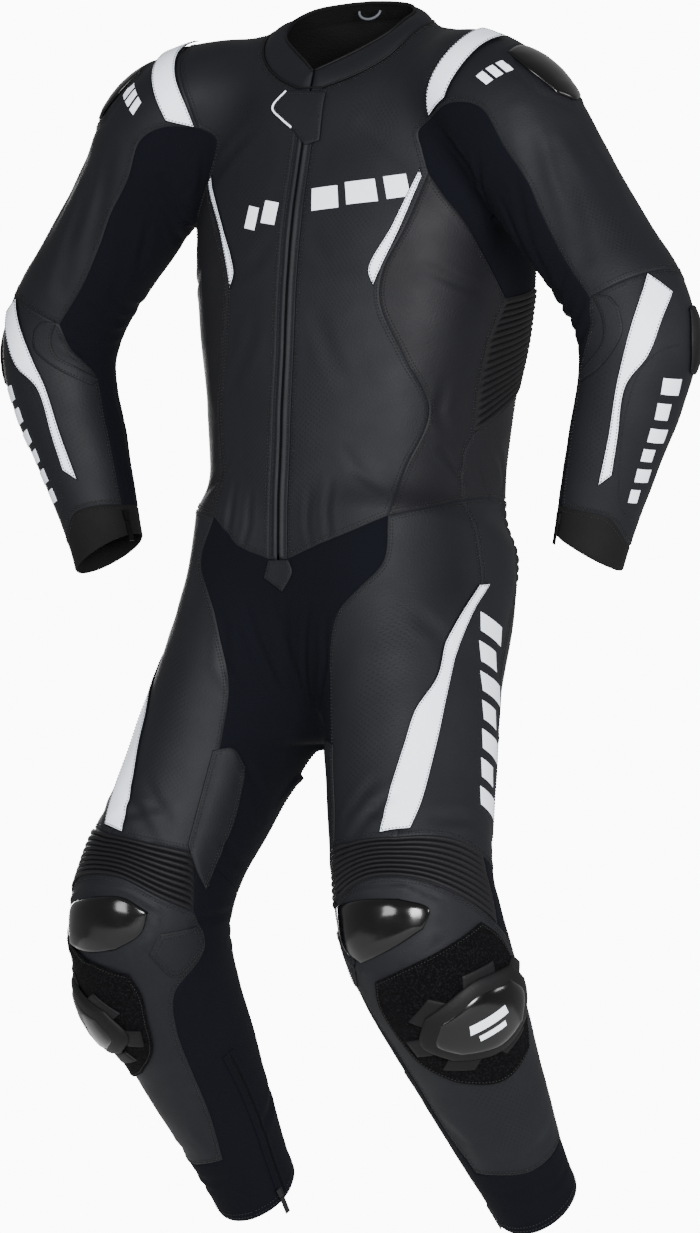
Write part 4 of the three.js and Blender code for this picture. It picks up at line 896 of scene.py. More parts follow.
# Brushed cloth with a short nap: black without a highlight.
cuff_cloth = leather("soft cuff cloth, black", "#080808", "#050506", 0.8)
for h in halves:
    T, A, P = h.T, h.A, h.P
    under = lambda along: A(along, -92 - 22 * float(ramp(along, ARMPIT, CUFF - ARMPIT)))
    end = lambda turn: A(727 + 11 * math.cos(math.radians(turn - 100)), turn)
    front_mid, back_mid, crook = A(ARMPIT, -10), A(ARMPIT, 195), A(ELBOW, -16)
    elbow_side, elbow_back = A(ELBOW, 86), A(ELBOW, 190)
    cuff_front, cuff_side, cuff_back = A(CUFF, -52), A(CUFF + 18, 66), A(CUFF + 14, 200)
    sleeve_front = seam([h.chest_point, A(185, -14), A(210, -3), A(250, -6), A(300, -5), front_mid])
    sleeve_front_low = seam([front_mid, A(390, -17), crook])
    forearm_front = seam([crook, A(485, -34), A(535, -58), A(600, -56), cuff_front])
    sleeve_back = seam([h.back_armhole, A(210, 206), A(270, 200), back_mid])
    sleeve_back_low = seam([back_mid, A(390, 192), elbow_back])
    forearm_back = seam([elbow_back, A(560, 195), cuff_back])
    ridge = seam([h.shoulder_tip, A(230, 92), A(340, 86), elbow_side])
    elbow_front_line = seam([crook, A(ELBOW, 20), A(ELBOW, 55), elbow_side])
    elbow_back_line = seam([elbow_side, A(ELBOW, 120), A(ELBOW, 160), elbow_back])
    forearm_ridge = seam([elbow_side, A(560, 78), cuff_side])
    cuff_front_line = seam([cuff_front, A(680, -15), A(680, 25), cuff_side])
    cuff_back_line = seam([cuff_side, A(712, 110), A(706, 155), cuff_back])
    cuff_inside = seam([cuff_back, A(692, 222), under(CUFF)])
    cuff_zip = seam([under(CUFF), A(CUFF, -82), cuff_front])
    underarm = seam([under(a) for a in (ARMPIT, 400, 480, 580, CUFF)])
    armpit_front = seam([front_mid, A(ARMPIT, -50), under(ARMPIT)])
    armpit_back = seam([under(ARMPIT), A(ARMPIT, 230), back_mid])
    armpit = seam([h.rib_mid, P(206, 10, -240), P(232, 0, -222), under(ARMPIT)])
    edge_front = seam([end(t) for t in (-52, -15, 25, 66)])
    edge_back = seam([end(t) for t in (66, 110, 155, 200)])
    edge_inside = seam([end(t) for t in (200, 222, 246)])
    edge_zip = seam([end(t) for t in (246, 278, 308)])
    h.cuff_line = cuff_front_line
    cuff_ridge, cuff_rear = seam([cuff_side, end(66)]), seam([cuff_back, end(200)])
    cuff_under, cuff_slit = seam([under(CUFF), end(246)]), seam([cuff_front, end(-52)])
    for places, width, depth in (
            ([(292, -40), (330, -52), (356, -63)], 5, 2.6), ([(290, -13), (350, -40), (416, -58)], 6, 2.4),
            ([(174, -48), (215, -58), (249, -56)], 6, 2.6), ([(193, -48), (235, -64), (273, -59)], 5, 2.4),
            ([(237, -33), (265, -60), (287, -86)], 6, 2.8), ([(250, -70), (275, -100), (300, -125)], 6, 3.0),
            ([(270, -50), (300, -80), (310, -110)], 5, 2.6), ([(284, 32), (350, 18), (409, 0)], 9, 2.2),
            ([(234, 20), (310, 6), (379, -3)], 9, 2.0), ([(260, 55), (330, 60), (390, 50)], 10, 1.4),
            ([(412, -34), (418, -60), (415, -90)], 5, 2.8), ([(435, -42), (440, -68), (436, -100)], 6, 3.2),
            ([(406, -22), (408, -60), (420, -97)], 5, 2.2), ([(462, -40), (466, -70), (460, -104)], 5, 2.8),
            ([(470, -25), (486, -48), (490, -75)], 5, 2.4), ([(447, -21), (455, -45), (452, -80)], 5, 2.2),
            ([(395, -60), (398, -90), (400, -120)], 6, 2.4), ([(430, 140), (428, 165), (434, 190)], 6, 2.2),
            ([(462, 150), (466, 175), (464, 195)], 5, 2.0), ([(560, -90), (590, -100), (620, -96)], 6, 1.8),
            ([(230, 205), (260, 215), (290, 225)], 6, 2.4), ([(640, -70), (660, -76), (676, -70)], 5, 1.6)):
        crease(on_chart(A, places), width, depth)
    cup_padding = [(195, 45), (176, 62), (170, 84), (186, 106), (212, 112), (234, 98), (238, 74), (222, 50)]
    crease(on_chart(A, cup_padding + cup_padding[:1]), 3.6, -1.8)
    cloth(f"sleeve_panel_{h.name}", f"sleeve_{h.name}", [
        patch([h.yoke_front, joined(sleeve_front, sleeve_front_low), elbow_front_line, back(ridge)]),
        patch([h.shoulder_back, joined(sleeve_back, sleeve_back_low), back(elbow_back_line), back(ridge)]),
    ], [plain, lining], "leather", (0.34, 0.36, 0.082), rows=(2.6, 5.2), holes=[
        (on_chart(A, [(350, 22), (412, 38)]), 16)])
    cloth(f"forearm_panel_{h.name}", f"forearm_{h.name}", [
        patch([elbow_front_line, forearm_ridge, back(cuff_front_line), back(forearm_front)]),
        patch([elbow_back_line, forearm_back, back(cuff_back_line), back(forearm_ridge)]),
    ], [plain, lining], "leather", (0.26, 0.3, 0.065), rows=(2.6, 5.2), holes=[
        (on_chart(A, [(527, -18), (616, -14), (640, -18)]), 11)])
    cloth(f"underarm_gusset_{h.name}", f"underarm_stretch_{h.name}", [
        patch([back(sleeve_front), joined(h.gusset_top, h.gusset_foot, h.gusset_side), armpit,
               back(armpit_front)]),
        patch([sleeve_back, back(armpit_back), back(armpit), joined(h.gusset_rear, h.gusset_back)]),
        patch([joined(sleeve_front_low, forearm_front), back(cuff_zip), back(underarm), back(armpit_front)]),
        patch([underarm, back(cuff_inside), back(joined(sleeve_back_low, forearm_back)), back(armpit_back)]),
    ], [stretch, lining], "stretch_textile", (0.36, 0.56, 0.085), rows=())
    cloth(f"cuff_band_{h.name}", f"cuff_{h.name}", [
        patch([cuff_front_line, cuff_ridge, back(edge_front), back(cuff_slit)]),
        patch([cuff_back_line, cuff_rear, back(edge_back), back(cuff_ridge)]),
        patch([cuff_inside, cuff_under, back(edge_inside), back(cuff_rear)]),
        patch([cuff_zip, cuff_slit, back(edge_zip), back(cuff_under)]),
    ], [cuff_cloth, lining], "stretch_textile", (0.24, 0.05, 0.0088), rows=())

# Legs: leather over the front and outside of the thigh and over the shin, accordion ribs of stretch leather
# above the knee, and stretch cloth behind the knee and calf that ends in a band at the ankle.
KNEE_RIBS = 9
BEZELS = {      # the padded rim round each knee plate
    "left": [(403, -42), (406, -8), (411, 22), (425, 44), (441, 36), (448, 8), (453, -26), (440, -46)],
    "right": [(412, -34), (405, -8), (410, 18), (424, 50), (457, 50), (453, 16), (449, -12), (433, -34)],
}
for h in halves:
    T, L = h.T, h.L
    hem = lambda turn: L(801 + 7 * math.cos(math.radians(turn - 10)), turn)
    shin_top, shin_side = L(408, -62), L(455, 95)
    ankle_inner, ankle_outer, calf_foot = L(716, -18), L(731, 120), L(725, 208)
    thigh_line = seam([h.hip_side, T(-545, 84), T(-585, 84), L(110, 79), L(154, 62), L(202, 51), L(240, 40),
                       L(300, 33), h.knee_front])
    knee_top_inner = seam([h.knee_inner, L(366, -12), h.knee_front])
    knee_top_outer = seam([h.knee_front, L(369, 62), h.knee_outer])
    knee_edge_inner, knee_edge_outer = seam([h.knee_inner, shin_top]), seam([h.knee_outer, shin_side])
    knee_foot = seam([shin_top, L(404, -35), L(398, 0), L(407, 36), L(424, 66), shin_side])
    shin_inner = seam([shin_top, L(446, -76), L(487, -44), L(530, -33), L(654, -27), ankle_inner])
    shin_outer = seam([shin_side, L(500, 120), L(600, 125), ankle_outer])
    shin_foot = seam([ankle_inner, L(721, 12), L(730, 42), L(732, 82), ankle_outer])
    calf = seam([h.knee_back, L(480, 212), L(600, 210), calf_foot])
    calf_foot_inner = seam([calf_foot, L(720, 265), ankle_inner])
    calf_foot_outer = seam([ankle_outer, L(729, 165), calf_foot])
    hem_front = seam([hem(t) for t in (-18, 25, 75, 120)])
    hem_outer = seam([hem(t) for t in (120, 165, 208)])
    hem_inner = seam([hem(t) for t in (208, 265, 342)])
    ankle_in, ankle_out = seam([ankle_inner, hem(-18)]), seam([ankle_outer, hem(120)])
    ankle_back = seam([calf_foot, hem(208)])
    h.hem_edge = joined(hem_front, hem_outer, hem_inner)
    for places, width, depth in (
            ([(425, 130), (430, 165), (424, 200)], 6, 2.8), ([(404, 150), (408, 190), (402, 230)], 6, 3.0),
            ([(447, 160), (455, 200), (448, 240)], 6, 2.6), ([(400, 250), (410, 280), (420, -64)], 5, 2.4),
            ([(470, 180), (478, 215), (470, 250)], 6, 2.2), ([(630, 140), (650, 165), (660, 200)], 7, 1.8),
            ([(680, 230), (695, 260), (700, 290)], 7, 2.0), ([(760, 20), (768, 60), (762, 100)], 5, 1.6),
            ([(742, -10), (750, 20), (746, 50)], 5, 1.4), ([(770, 150), (776, 190), (768, 230)], 6, 1.6),
            ([(700, 20), (712, 50), (706, 84)], 7, 1.2), ([(640, -20), (668, -10), (700, -14)], 7, 1.0)):
        crease(on_chart(L, places), width, depth)
    crease(on_chart(L, BEZELS[h.name] + BEZELS[h.name][:1]), 3.4, -1.8)
    cloth(f"thigh_front_panel_{h.name}", f"thigh_front_{h.name}", [
        patch([h.waist_side, thigh_line, back(knee_top_inner), back(h.crotch_front)]),
    ], [charcoal, lining], "leather", (0.17, 0.42, 0.048), rows=(2.6, 5.2), holes=[
        (on_chart(L, [(130, 30), (220, 10), (310, -4)]), 24)])
    cloth(f"thigh_outer_panel_{h.name}", f"thigh_outer_{h.name}", [
        patch([h.waist_back, joined(h.lumbar_side, h.seat_edge), back(joined(knee_top_outer, h.knee_top_side)),
               back(thigh_line)]),
    ], [plain, lining], "leather", (0.17, 0.46, 0.05), rows=(2.6, 5.2))
    cloth(f"knee_rib_panel_{h.name}", f"knee_ribs_{h.name}", [
        patch([joined(knee_top_inner, knee_top_outer), knee_edge_outer, back(knee_foot), back(knee_edge_inner)],
              rows=7 * KNEE_RIBS, columns=44, lift=ribbed(KNEE_RIBS)),
    ], [ribs, lining], "stretch_textile", (0.25, 0.1, 0.0135), rows=())
    cloth(f"shin_panel_{h.name}", f"shin_{h.name}", [
        patch([knee_foot, shin_outer, back(shin_foot), back(shin_inner)]),
    ], [plain, lining], "leather", (0.26, 0.36, 0.075), rows=(2.6, 5.2), holes=[
        (on_chart(L, [(612, 40), (640, 52), (676, 48)]), 22)])
    cloth(f"calf_gusset_{h.name}", f"calf_stretch_{h.name}", [
        patch([h.knee_top_inside, joined(knee_edge_inner, shin_inner), back(calf_foot_inner), back(calf)]),
        patch([back(joined(h.knee_top_side, h.knee_top_back)), joined(knee_edge_outer, shin_outer),
               calf_foot_outer, back(calf)]),
        patch([shin_foot, ankle_out, back(hem_front), back(ankle_in)]),
        patch([calf_foot_outer, ankle_back, back(hem_outer), back(ankle_out)]),
        patch([calf_foot_inner, ankle_in, back(hem_inner), back(ankle_back)]),
    ], [stretch, lining], "stretch_textile", (0.34, 0.46, 0.104), rows=())

# White stripes: strips of smooth white leather on the chest, shoulders, sleeves and thighs. Their turned-down
# edges are painted near black as a shadow line round each stripe, and each is sewn onto the charcoal leather
# with one row of stitching.
STRIPE_THICKNESS = 1.2      # mm
# Painted shadow, near black: the edge walls of the stripes and patches take it as a dark line round each, and
# the collar piping is drawn in it too.
edge_shadow_and_piping = leather("folded leather edge, black", "#07070a", "#050507", 0.6)
# Cow leather with a pigment coat: a cool white with a soft sheen.
white = leather("cow leather, white", "#ecf2fd", "#e4ebf8", 0.5)


def sheet_on(sides, **options):
    """Cloth on the form between four cut lines, each given by its places."""
    return patch([seam(places, 3.0) for places in sides], **options)


def round_from(start, lines):
    """The sides of a piece, where each line of places starts at the end of the one before it."""
    sides = []
    for line in lines:
        sides.append([start] + line)
        start = line[-1]
    return sides


for h in halves:
    T, A, L = h.T, h.A, h.L
    chest_top, shoulder_top, arm_top, thigh_top = T(-139, 61), A(138, 78), A(449, 44), T(-583, 82)
    # the piece under it, height over the form in mm, cut, first place, and the four sides that go on from it
    stripes = {
        "chest_stripe": ("front_panel", 0.4, (0.02, 0.13, 0.0013), chest_top, [
            [T(-149, 61.5)], [T(-200, 53.5, 46), T(-246, 45.6, 37.4)], [T(-266, 42.5, 35)],
            [T(-248, 40.5, 33), T(-200, 50, 43), chest_top]]),
        "shoulder_stripe": ("sleeve_panel", 2.6, (0.04, 0.14, 0.0038), shoulder_top, [
            [A(160, 78)], [A(166, 48), A(172, 20), A(178, -12)], [A(153, -33)],
            [A(150, -15), A(150, 15), A(146, 45), shoulder_top]]),
        "sleeve_stripe": ("forearm_panel", 1.2, (0.035, 0.22, 0.004), arm_top, [
            [A(467, 64)], [A(485, 44), A(508, 28), A(536, 10), A(590, 13), A(632, 16)], [A(648, 2)],
            [A(590, 2), A(536, 0), A(502, 6), arm_top]]),
        "thigh_stripe": ("thigh_front_panel", 0.9, (0.04, 0.34, 0.008), thigh_top, [
            [T(-582, 89)], [L(100, 84), L(154, 67), L(202, 57), L(278, 48), L(341, 39), L(364, 31)],
            [L(366, 9)], [L(330, 17), L(269, 27), L(228, 34), L(186, 49), L(141, 59), L(109, 71), thigh_top]]),
    }
    # the stripes' edge walls take the second material, a painted shadow line round each
    for node, (under_it, lift, cut, start, lines) in stripes.items():
        cloth(f"{node}_leather_{h.name}", f"{node}_{h.name}", [sheet_on(round_from(start, lines))],
              [white, edge_shadow_and_piping], "white_leather", cut, on=f"{under_it}_{h.name}", rows=(2.2,), turned=1,
              top=lift + STRIPE_THICKNESS, bottom=lift, gap=0, bevel=1.0, drop=0.7)

# Hard guards: moulded black plates on the shoulders, elbows and knees, glued and sewn into padded rims, and a
# puck on each knee, held by a base of looped pile. The plates are gloss plastic, the sliders and pucks rubber.
# Plastic from a polished mould: sharp highlights, softened where it is scuffed.
SCUFFS = 16.6667    # mm
gloss, gloss_tree, gloss_shader = finish("moulded plastic, gloss black", "#010102", 0.1, IOR=1.5,
                                         Specular_IOR_Level=0.36)
gloss_place = add_node(gloss_tree, "ShaderNodeTexCoord").outputs["Object"]
gloss_wear = add_node(gloss_tree, "ShaderNodeTexNoise", {"Vector": gloss_place, "Scale": per_metre(SCUFFS),
                                                         "Detail": 6.0})
gloss_rough = add_node(gloss_tree, "ShaderNodeMapRange", {"Value": gloss_wear.outputs["Fac"], "To Min": 0.08,
                                                          "To Max": 0.26})
gloss_tree.links.new(gloss_rough.outputs["Result"], gloss_shader.inputs["Roughness"])
# Nylon loops, knitted: they swallow the light, and lighter specks painted into their colour stand for
# highlights on the loop tips. Drawn 1 to 2 mm wide.
LOOPS, HIGHLIGHT_SPECKS = 1.1111, 2.381     # mm
pile, pile_tree, pile_shader = finish("looped pile, black", "#030304", 0.95, Specular_IOR_Level=0.08)
pile_place = add_node(pile_tree, "ShaderNodeTexCoord").outputs["Object"]
pile_loops = add_node(pile_tree, "ShaderNodeTexNoise", {"Vector": pile_place, "Scale": per_metre(LOOPS),
                                                        "Detail": 2.0})
pile_highlight_noise = add_node(pile_tree, "ShaderNodeTexNoise", {"Vector": pile_place, "Scale": per_metre(HIGHLIGHT_SPECKS),
                                                        "Detail": 1.0})
pile_highlight_share = add_node(pile_tree, "ShaderNodeMapRange", {"Value": pile_highlight_noise.outputs["Fac"], "From Min": 0.5,
                                                        "From Max": 0.68})
# painted highlights: the lighter colour goes where the speckle noise is high
pile_colour_with_highlights = add_node(pile_tree, "ShaderNodeMix", {"Factor": pile_highlight_share.outputs["Result"], 6: linear("#020203"),
                                                  7: linear("#0e0e11")}, data_type="RGBA")
pile_tree.links.new(pile_colour_with_highlights.outputs[2], pile_shader.inputs["Base Color"])
pile_bump = add_node(pile_tree, "ShaderNodeBump", {"Height": pile_loops.outputs["Fac"], "Distance": 0.0015})
pile_tree.links.new(pile_bump.outputs["Normal"], pile_shader.inputs["Normal"])


def dome(height):
    """A moulded crown, high in mm in the middle."""
    arch = lambda t: np.sin(math.pi * np.clip(t, 0, 1))
    return lambda u, v: height * (arch(u) * arch(v)) ** 0.6


def facets(height):
    """A flat top with sloping borders, and a ridge along the middle."""
    def lift(u, v):
        inside = np.minimum(np.minimum(u, 1 - u), np.minimum(v, 1 - v))
        return height * (np.clip(5 * inside, 0, 1) + 0.35 * np.clip(1 - 4 * np.abs(v - 0.45), 0, 1))
    return lift


def ring_sides(chart, places, shrink=1.0):
    """The four sides of a plate from eight places round it, drawn in to a share of their distance."""
    places = np.array(places, float)
    places = places.mean(0) + shrink * (places - places.mean(0))
    ring = [chart(*place) for place in places] + [chart(*places[0])]
    return [ring[k:k + 3] for k in (0, 2, 4, 6)]


# Rubber, moulded with a fine texture: matt black that greys softly towards the light.
rubber = leather("moulded rubber, matt black", "#060608", "#040405", 0.6)
# eight places round each guard: a distance along the limb in mm and a turn in degrees
PLATES = {
    "left": [(409, -38), (412, -8), (417, 18), (426, 37), (435, 30), (441, 6), (446, -22), (436, -40)],
    "right": [(416, -28), (411, -8), (417, 16), (428, 42), (449, 42), (447, 15), (442, -8), (430, -26)],
}
CUP = [(182, 54), (174, 80), (180, 104), (205, 108), (228, 101), (234, 80), (227, 60), (205, 53)]
SLIDER = [(478, 84), (475, 96), (478, 109), (498, 112), (518, 106), (521, 94), (518, 82), (498, 79)]
PUCK = [(496, 14), (482, 52), (490, 90), (522, 106), (554, 92), (562, 58), (548, 22), (522, 4)]
PUCK_TABS = 7
TAB_REACH = (39, 50)    # mm along the leg and degrees round it, from the puck's middle to its tabs
for h in halves:
    A, L = h.A, h.L
    # thickness and height over the form in mm, shape, outline, chart, material
    guards = {
        "shoulder_cup": (1.6, 1.0, facets(1.6), CUP, A, gloss),
        "elbow_slider": (1.8, 1.8, facets(1.8), SLIDER, A, rubber),
        "knee_plate": (2.0, 1.6, facets(2.2), PLATES[h.name], L, gloss),
        "knee_puck": (3.0, 4.7, dome(7.4), PUCK, L, rubber),
    }
    for node, (thick, lift, shape, places, chart, material) in guards.items():
        piece = shell(f"{node}_shell_{h.name}", [sheet_on(ring_sides(chart, places), lift=shape)], [material],
                      top=lift + thick, bottom=lift, gap=0, bevel=1.2, drop=1.4, follow=False)[0]
        wear(piece, f"{node}_{h.name}")
    slick = shell(f"knee_puck_face_{h.name}", [sheet_on(ring_sides(L, PUCK, 0.76), lift=dome(4.6))], [gloss],
                  top=12.4, bottom=8.4, gap=0, bevel=1.6, drop=1.6, follow=False)[0]
    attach(slick, "suit")
    tabs = []
    middle = np.array(PUCK, float).mean(0)
    for k in range(PUCK_TABS):
        turn = 2 * math.pi * (k + 0.4) / PUCK_TABS
        reach = lambda a: np.array([math.cos(turn + a), math.sin(turn + a)]) * TAB_REACH
        corner = lambda r, a: L(*(middle + r * reach(a)))
        a, b, c, d = corner(0.96, -0.3), corner(1.25, -0.22), corner(1.25, 0.22), corner(0.96, 0.3)
        tabs.append(sheet_on([[a, b], [b, c], [c, d], [d, a]]))
    tabs = shell(f"puck_tabs_{h.name}", tabs, [rubber], top=5.4, bottom=3.2, gap=0, bevel=1.0, drop=0.8,
                 follow=False)[0]
    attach(tabs, "suit")
    start = L(460, -15)
    base = sheet_on(round_from(start, [
        [L(454, 11), L(450, 36), L(442, 74)], [L(466, 92), L(500, 102), L(545, 104), L(592, 92)],
        [L(603, 54), L(578, 16)], [L(548, -7), L(508, -16), L(480, -20), start]]))
    cloth(f"puck_base_pile_{h.name}", f"puck_base_{h.name}", [base], [pile], "hook_and_loop",
          (0.16, 0.18, 0.0234), on=f"shin_panel_{h.name}", rows=(3.0,), top=3.2, bottom=1.8, gap=0, bevel=1.0,
          drop=0.5)

# Wear patches: thin doubled leather with folded edges, sewn flat over the crook of the elbow, over the stretch
# cloth inside the knee, where it is padded, and over the top of the shin. Their edge walls are painted near
# black as a shadow line.
for h in halves:
    A, L = h.A, h.L
    crook_start, inner_start, under_start = A(447, -12), L(250, -26), L(445, -31)
    crook = sheet_on(round_from(crook_start, [
        [A(456, 2), A(469, 7)], [A(489, 5), A(503, -4), A(526, -22), A(548, -50)], [A(541, -60)],
        [A(520, -36), A(496, -17), A(474, -12), crook_start]]))
    cloth(f"crook_patch_{h.name}", None, [crook], [plain, edge_shadow_and_piping], None, (0.03, 0.12, 0.0019),
          on=f"forearm_panel_{h.name}", rows=(2.2,), turned=1, top=1.5, bottom=0.3, gap=0, bevel=0.8, drop=0.6)
    inner_knee = sheet_on(round_from(inner_start, [
        [L(238, -38), L(250, -52)], [L(300, -62), L(345, -66), L(386, -66)], [L(372, -52), L(352, -38)],
        [L(305, -31), inner_start]]), lift=rolled(1.6, 0.2, 0.8))
    cloth(f"inner_knee_patch_{h.name}", None, [inner_knee], [plain, edge_shadow_and_piping], None, (0.06, 0.15, 0.0065),
          on="crotch_gusset", rows=(2.4, 5.2), turned=1, top=1.6, bottom=0.2, gap=0, bevel=0.8, drop=0.7)
    under_knee = sheet_on(round_from(under_start, [
        [L(430, -39)], [L(421, -67)], [L(449, -74)], [L(470, -47), under_start]]))
    cloth(f"under_knee_patch_{h.name}", None, [under_knee], [plain, edge_shadow_and_piping], None, (0.05, 0.06, 0.0027),
          on=f"shin_panel_{h.name}", rows=(2.2, 6.0), turned=1, top=1.4, bottom=0.3, gap=0, bevel=0.8, drop=0.6)

# Calf zips: a slit with black woven tape between two rolled lips of stretch cloth, sewn into the inside of each
# calf from under the knee to the hem.
LIP_NEAR, LIP_FAR = 1.3, 8.0    # mm from the middle of the slit
for h in halves:
    slit = seam([h.L(591, -64), h.L(640, -70), h.L(691, -72), h.L(740, -73), h.L(796, -72)], 3.0)
    lips = [strip(slit, side * LIP_NEAR, side * LIP_FAR, lift=rolled(1.5)) for side in (1, -1)]
    cloth(f"calf_zip_lips_{h.name}", None, lips, [stretch], None, (0.017, 0.21, 0.0033),
          on=f"calf_gusset_{h.name}", rows=(), top=1.3, bottom=0.2, gap=0, bevel=0.5, drop=0.3)
    cloth(f"calf_zip_tape_{h.name}", None, [strip(slit, -2.6, 2.6, columns=3)], [tape], None,
          (0.01, 0.21, 0.0011), on=f"calf_gusset_{h.name}", rows=(), top=0.5, bottom=0.1, gap=0, bevel=0.4,
          drop=0.2)

# Prints: a soft white film, cut in plain blocks and pressed onto the leather of the chest, shoulders, forearms
# and thighs and onto the knee pucks.
# Polyurethane film, pressed on hot: a flat cool white, a little worn, with less sheen than white leather.
PRINT_WEAR = 6.6667     # mm
film, film_tree, film_shader = finish("printed film, white", "#e2e6ee", 0.5, Specular_IOR_Level=0.3)
film_place = add_node(film_tree, "ShaderNodeTexCoord").outputs["Object"]
film_wear = add_node(film_tree, "ShaderNodeTexNoise", {"Vector": film_place, "Scale": per_metre(PRINT_WEAR),
                                                       "Detail": 5.0})
film_tone = add_node(film_tree, "ShaderNodeMix", {"Factor": film_wear.outputs["Fac"], 6: linear("#edf3fd"),
                                                  7: linear("#dde4ef")}, data_type="RGBA")
film_tree.links.new(film_tone.outputs[2], film_shader.inputs["Base Color"])


def block(chart, *corners):
    """A four-cornered piece on the form."""
    a, b, c, d = (chart(*place) for place in corners)
    return sheet_on([[a, b], [b, c], [c, d], [d, a]])


def prints(name, blocks, cut, on, lift):
    """Blocks of film, 0.35 mm thick, at a height over the form in mm."""
    cloth(name, None, blocks, [film], None, cut, on=on, rows=(), top=lift + 0.35, bottom=lift, gap=0, bevel=0.3,
          drop=0.1)


# first and last turn of each block on the chest, and how far it is raised in mm
CHEST_BLOCKS = {"left": ((11, 26, 0), (30, 44, 6), (47.5, 56, 11)), "right": ((10, 19, -14), (22.5, 29, -19))}
CHEST_CUTS = {"left": (0.12, 0.03, 0.0026), "right": (0.06, 0.03, 0.0009)}
# distance along the limb in mm and width in degrees
THIGH_BLOCKS = ((92, 30), (126, 24), (160, 33), (194, 22), (228, 30), (262, 20), (296, 26))
FOREARM_BLOCKS = ((524, 24), (548, 18), (572, 26), (596, 18), (620, 24), (644, 16))
FILM_LIFT, PUCK_LIFT = 0.5, 16.9    # mm
for h in halves:
    T, A, L, name = h.T, h.A, h.L, h.name
    chest = [block(T, (-160 + up, a), (-157 + up, b), (-181 + up, b + 1), (-184 + up, a + 1))
             for a, b, up in CHEST_BLOCKS[name]]
    thigh = [block(L, (a, 93), (a, 93 + wide), (a + 22, 95 + wide), (a + 22, 95)) for a, wide in THIGH_BLOCKS]
    forearm = [block(A, (a, 46), (a, 46 + wide), (a + 15, 47 + wide), (a + 15, 47))
               for a, wide in FOREARM_BLOCKS]
    shoulder = [block(A, (188, a), (200, a - 1), (200, a + 6), (188, a + 7)) for a in (16, 26, 36)]
    puck = [block(L, (511, 41), (520, 40), (520, 69), (511, 68)),
            block(L, (525, 45), (531, 45), (531, 65), (525, 65))]
    prints(f"chest_print_{name}", chest, CHEST_CUTS[name], f"front_panel_{name}", FILM_LIFT)
    prints(f"thigh_print_{name}", thigh, (0.045, 0.22, 0.0060), f"thigh_outer_panel_{name}", FILM_LIFT)
    prints(f"forearm_print_{name}", forearm, (0.025, 0.135, 0.0019), f"forearm_panel_{name}", FILM_LIFT)
    prints(f"shoulder_print_{name}", shoulder, (0.03, 0.04, 0.0005), f"sleeve_panel_{name}", FILM_LIFT)
    prints(f"puck_print_{name}", puck, (0.035, 0.026, 0.0007), f"knee_puck_face_{name}", PUCK_LIFT)

# Throat flap and front tab: two scraps of leather, folded and sewn over the ends of the front zip. The flap has
# a white piping along its right edge.
left, right = halves
throat_start, tab_start = right.T(-54, 19.5), right.T(-557, 4.5)
flap = sheet_on(round_from(throat_start, [
    [left.T(-55, 0), left.T(-56, 15)], [left.T(-108, 13)], [left.T(-113, 3)],
    [right.T(-92, 10), right.T(-71, 26), throat_start]]))
cloth("throat_flap_leather", "throat_flap", [flap], [charcoal], "leather", (0.04, 0.08, 0.0025),
      on="zip_placket_cover", rows=(3.0,), top=3.6, bottom=2.2, gap=0, bevel=1.0, drop=0.7)


def piping(name, line, radius, material):
    """A round cord of cloth along a line, with closed ends and eight sides."""
    n, way = 8, unit(np.gradient(line, axis=0))
    across = unit(np.cross(way, unit(body_slope(line)[0])))
    turns = np.linspace(0, 2 * math.pi, n, endpoint=False)[:, None]
    rings = line[:, None] + radius * (np.cos(turns) * across[:, None]
                                      + np.sin(turns) * np.cross(across, way)[:, None])
    count = len(line)
    verts = np.vstack([rings.reshape(-1, 3), line[:1], line[-1:]]) / 1000
    faces = [(k * n + i, k * n + (i + 1) % n, (k + 1) * n + (i + 1) % n, (k + 1) * n + i)
             for k in range(count - 1) for i in range(n)]
    faces += [(count * n, (i + 1) % n, i) for i in range(n)]
    faces += [(count * n + 1, (count - 1) * n + i, (count - 1) * n + (i + 1) % n) for i in range(n)]
    mesh = bpy.data.meshes.new(name)
    mesh.from_pydata(verts.tolist(), [], faces)
    build = bmesh.new()
    build.from_mesh(mesh)
    bmesh.ops.recalc_face_normals(build, faces=build.faces)
    build.to_mesh(mesh)
    build.free()
    mesh.shade_smooth()
    mesh.materials.append(material)
    cord = bpy.data.objects.new(name, mesh)
    bpy.context.scene.collection.objects.link(cord)
    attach(cord, "suit")


flap_line = seam([right.T(-54, 19), right.T(-71, 26.4), right.T(-83, 18), right.T(-93, 9)], 1.5)
piping("throat_piping", flap_line + body_slope(flap_line)[0] * 3.2, 1.2, white)
tab = sheet_on(round_from(tab_start, [
    [left.T(-557, 6)], [left.T(-570, 8), left.T(-591, 2.5)], [right.T(-576, 7)], [tab_start]]))
cloth("front_tab_leather", "front_tab", [tab], [plain], "leather", (0.03, 0.04, 0.0009), on="crotch_gusset",
      rows=(2.6,), top=2.7, bottom=0.9, gap=0, bevel=1.0, drop=0.7)

# Collar: a soft stand-up band of leather lined with black mesh, open in a notch at the throat. Its rim and foot
# are bound with black piping, and a loop of grey tape inside its back hangs the suit up.
COLLAR_TOP = [(1.5, -79, -31), (25, -63, -18), (43, -53, -8), (68, -37, 9), (76, -16, 25), (76, 0, 33),
              (64, 14, 41), (35, 24, 46), (0, 28, 48)]
COLLAR_PADDING = 3      # mm


def collar_normals(points):
    """The way out of the collar: off the form at its foot, and outwards and up where it stands free."""
    normal, value = body_slope(points)[0], body_value(points)
    lean = unit(np.stack([points[:, 0], points[:, 1] + 22, np.zeros(len(points))], -1))
    lean[:, 2] = 0.8
    part = ramp(value, 0, 6)[:, None]
    return unit(normal * (1 - part) + unit(lean) * part)


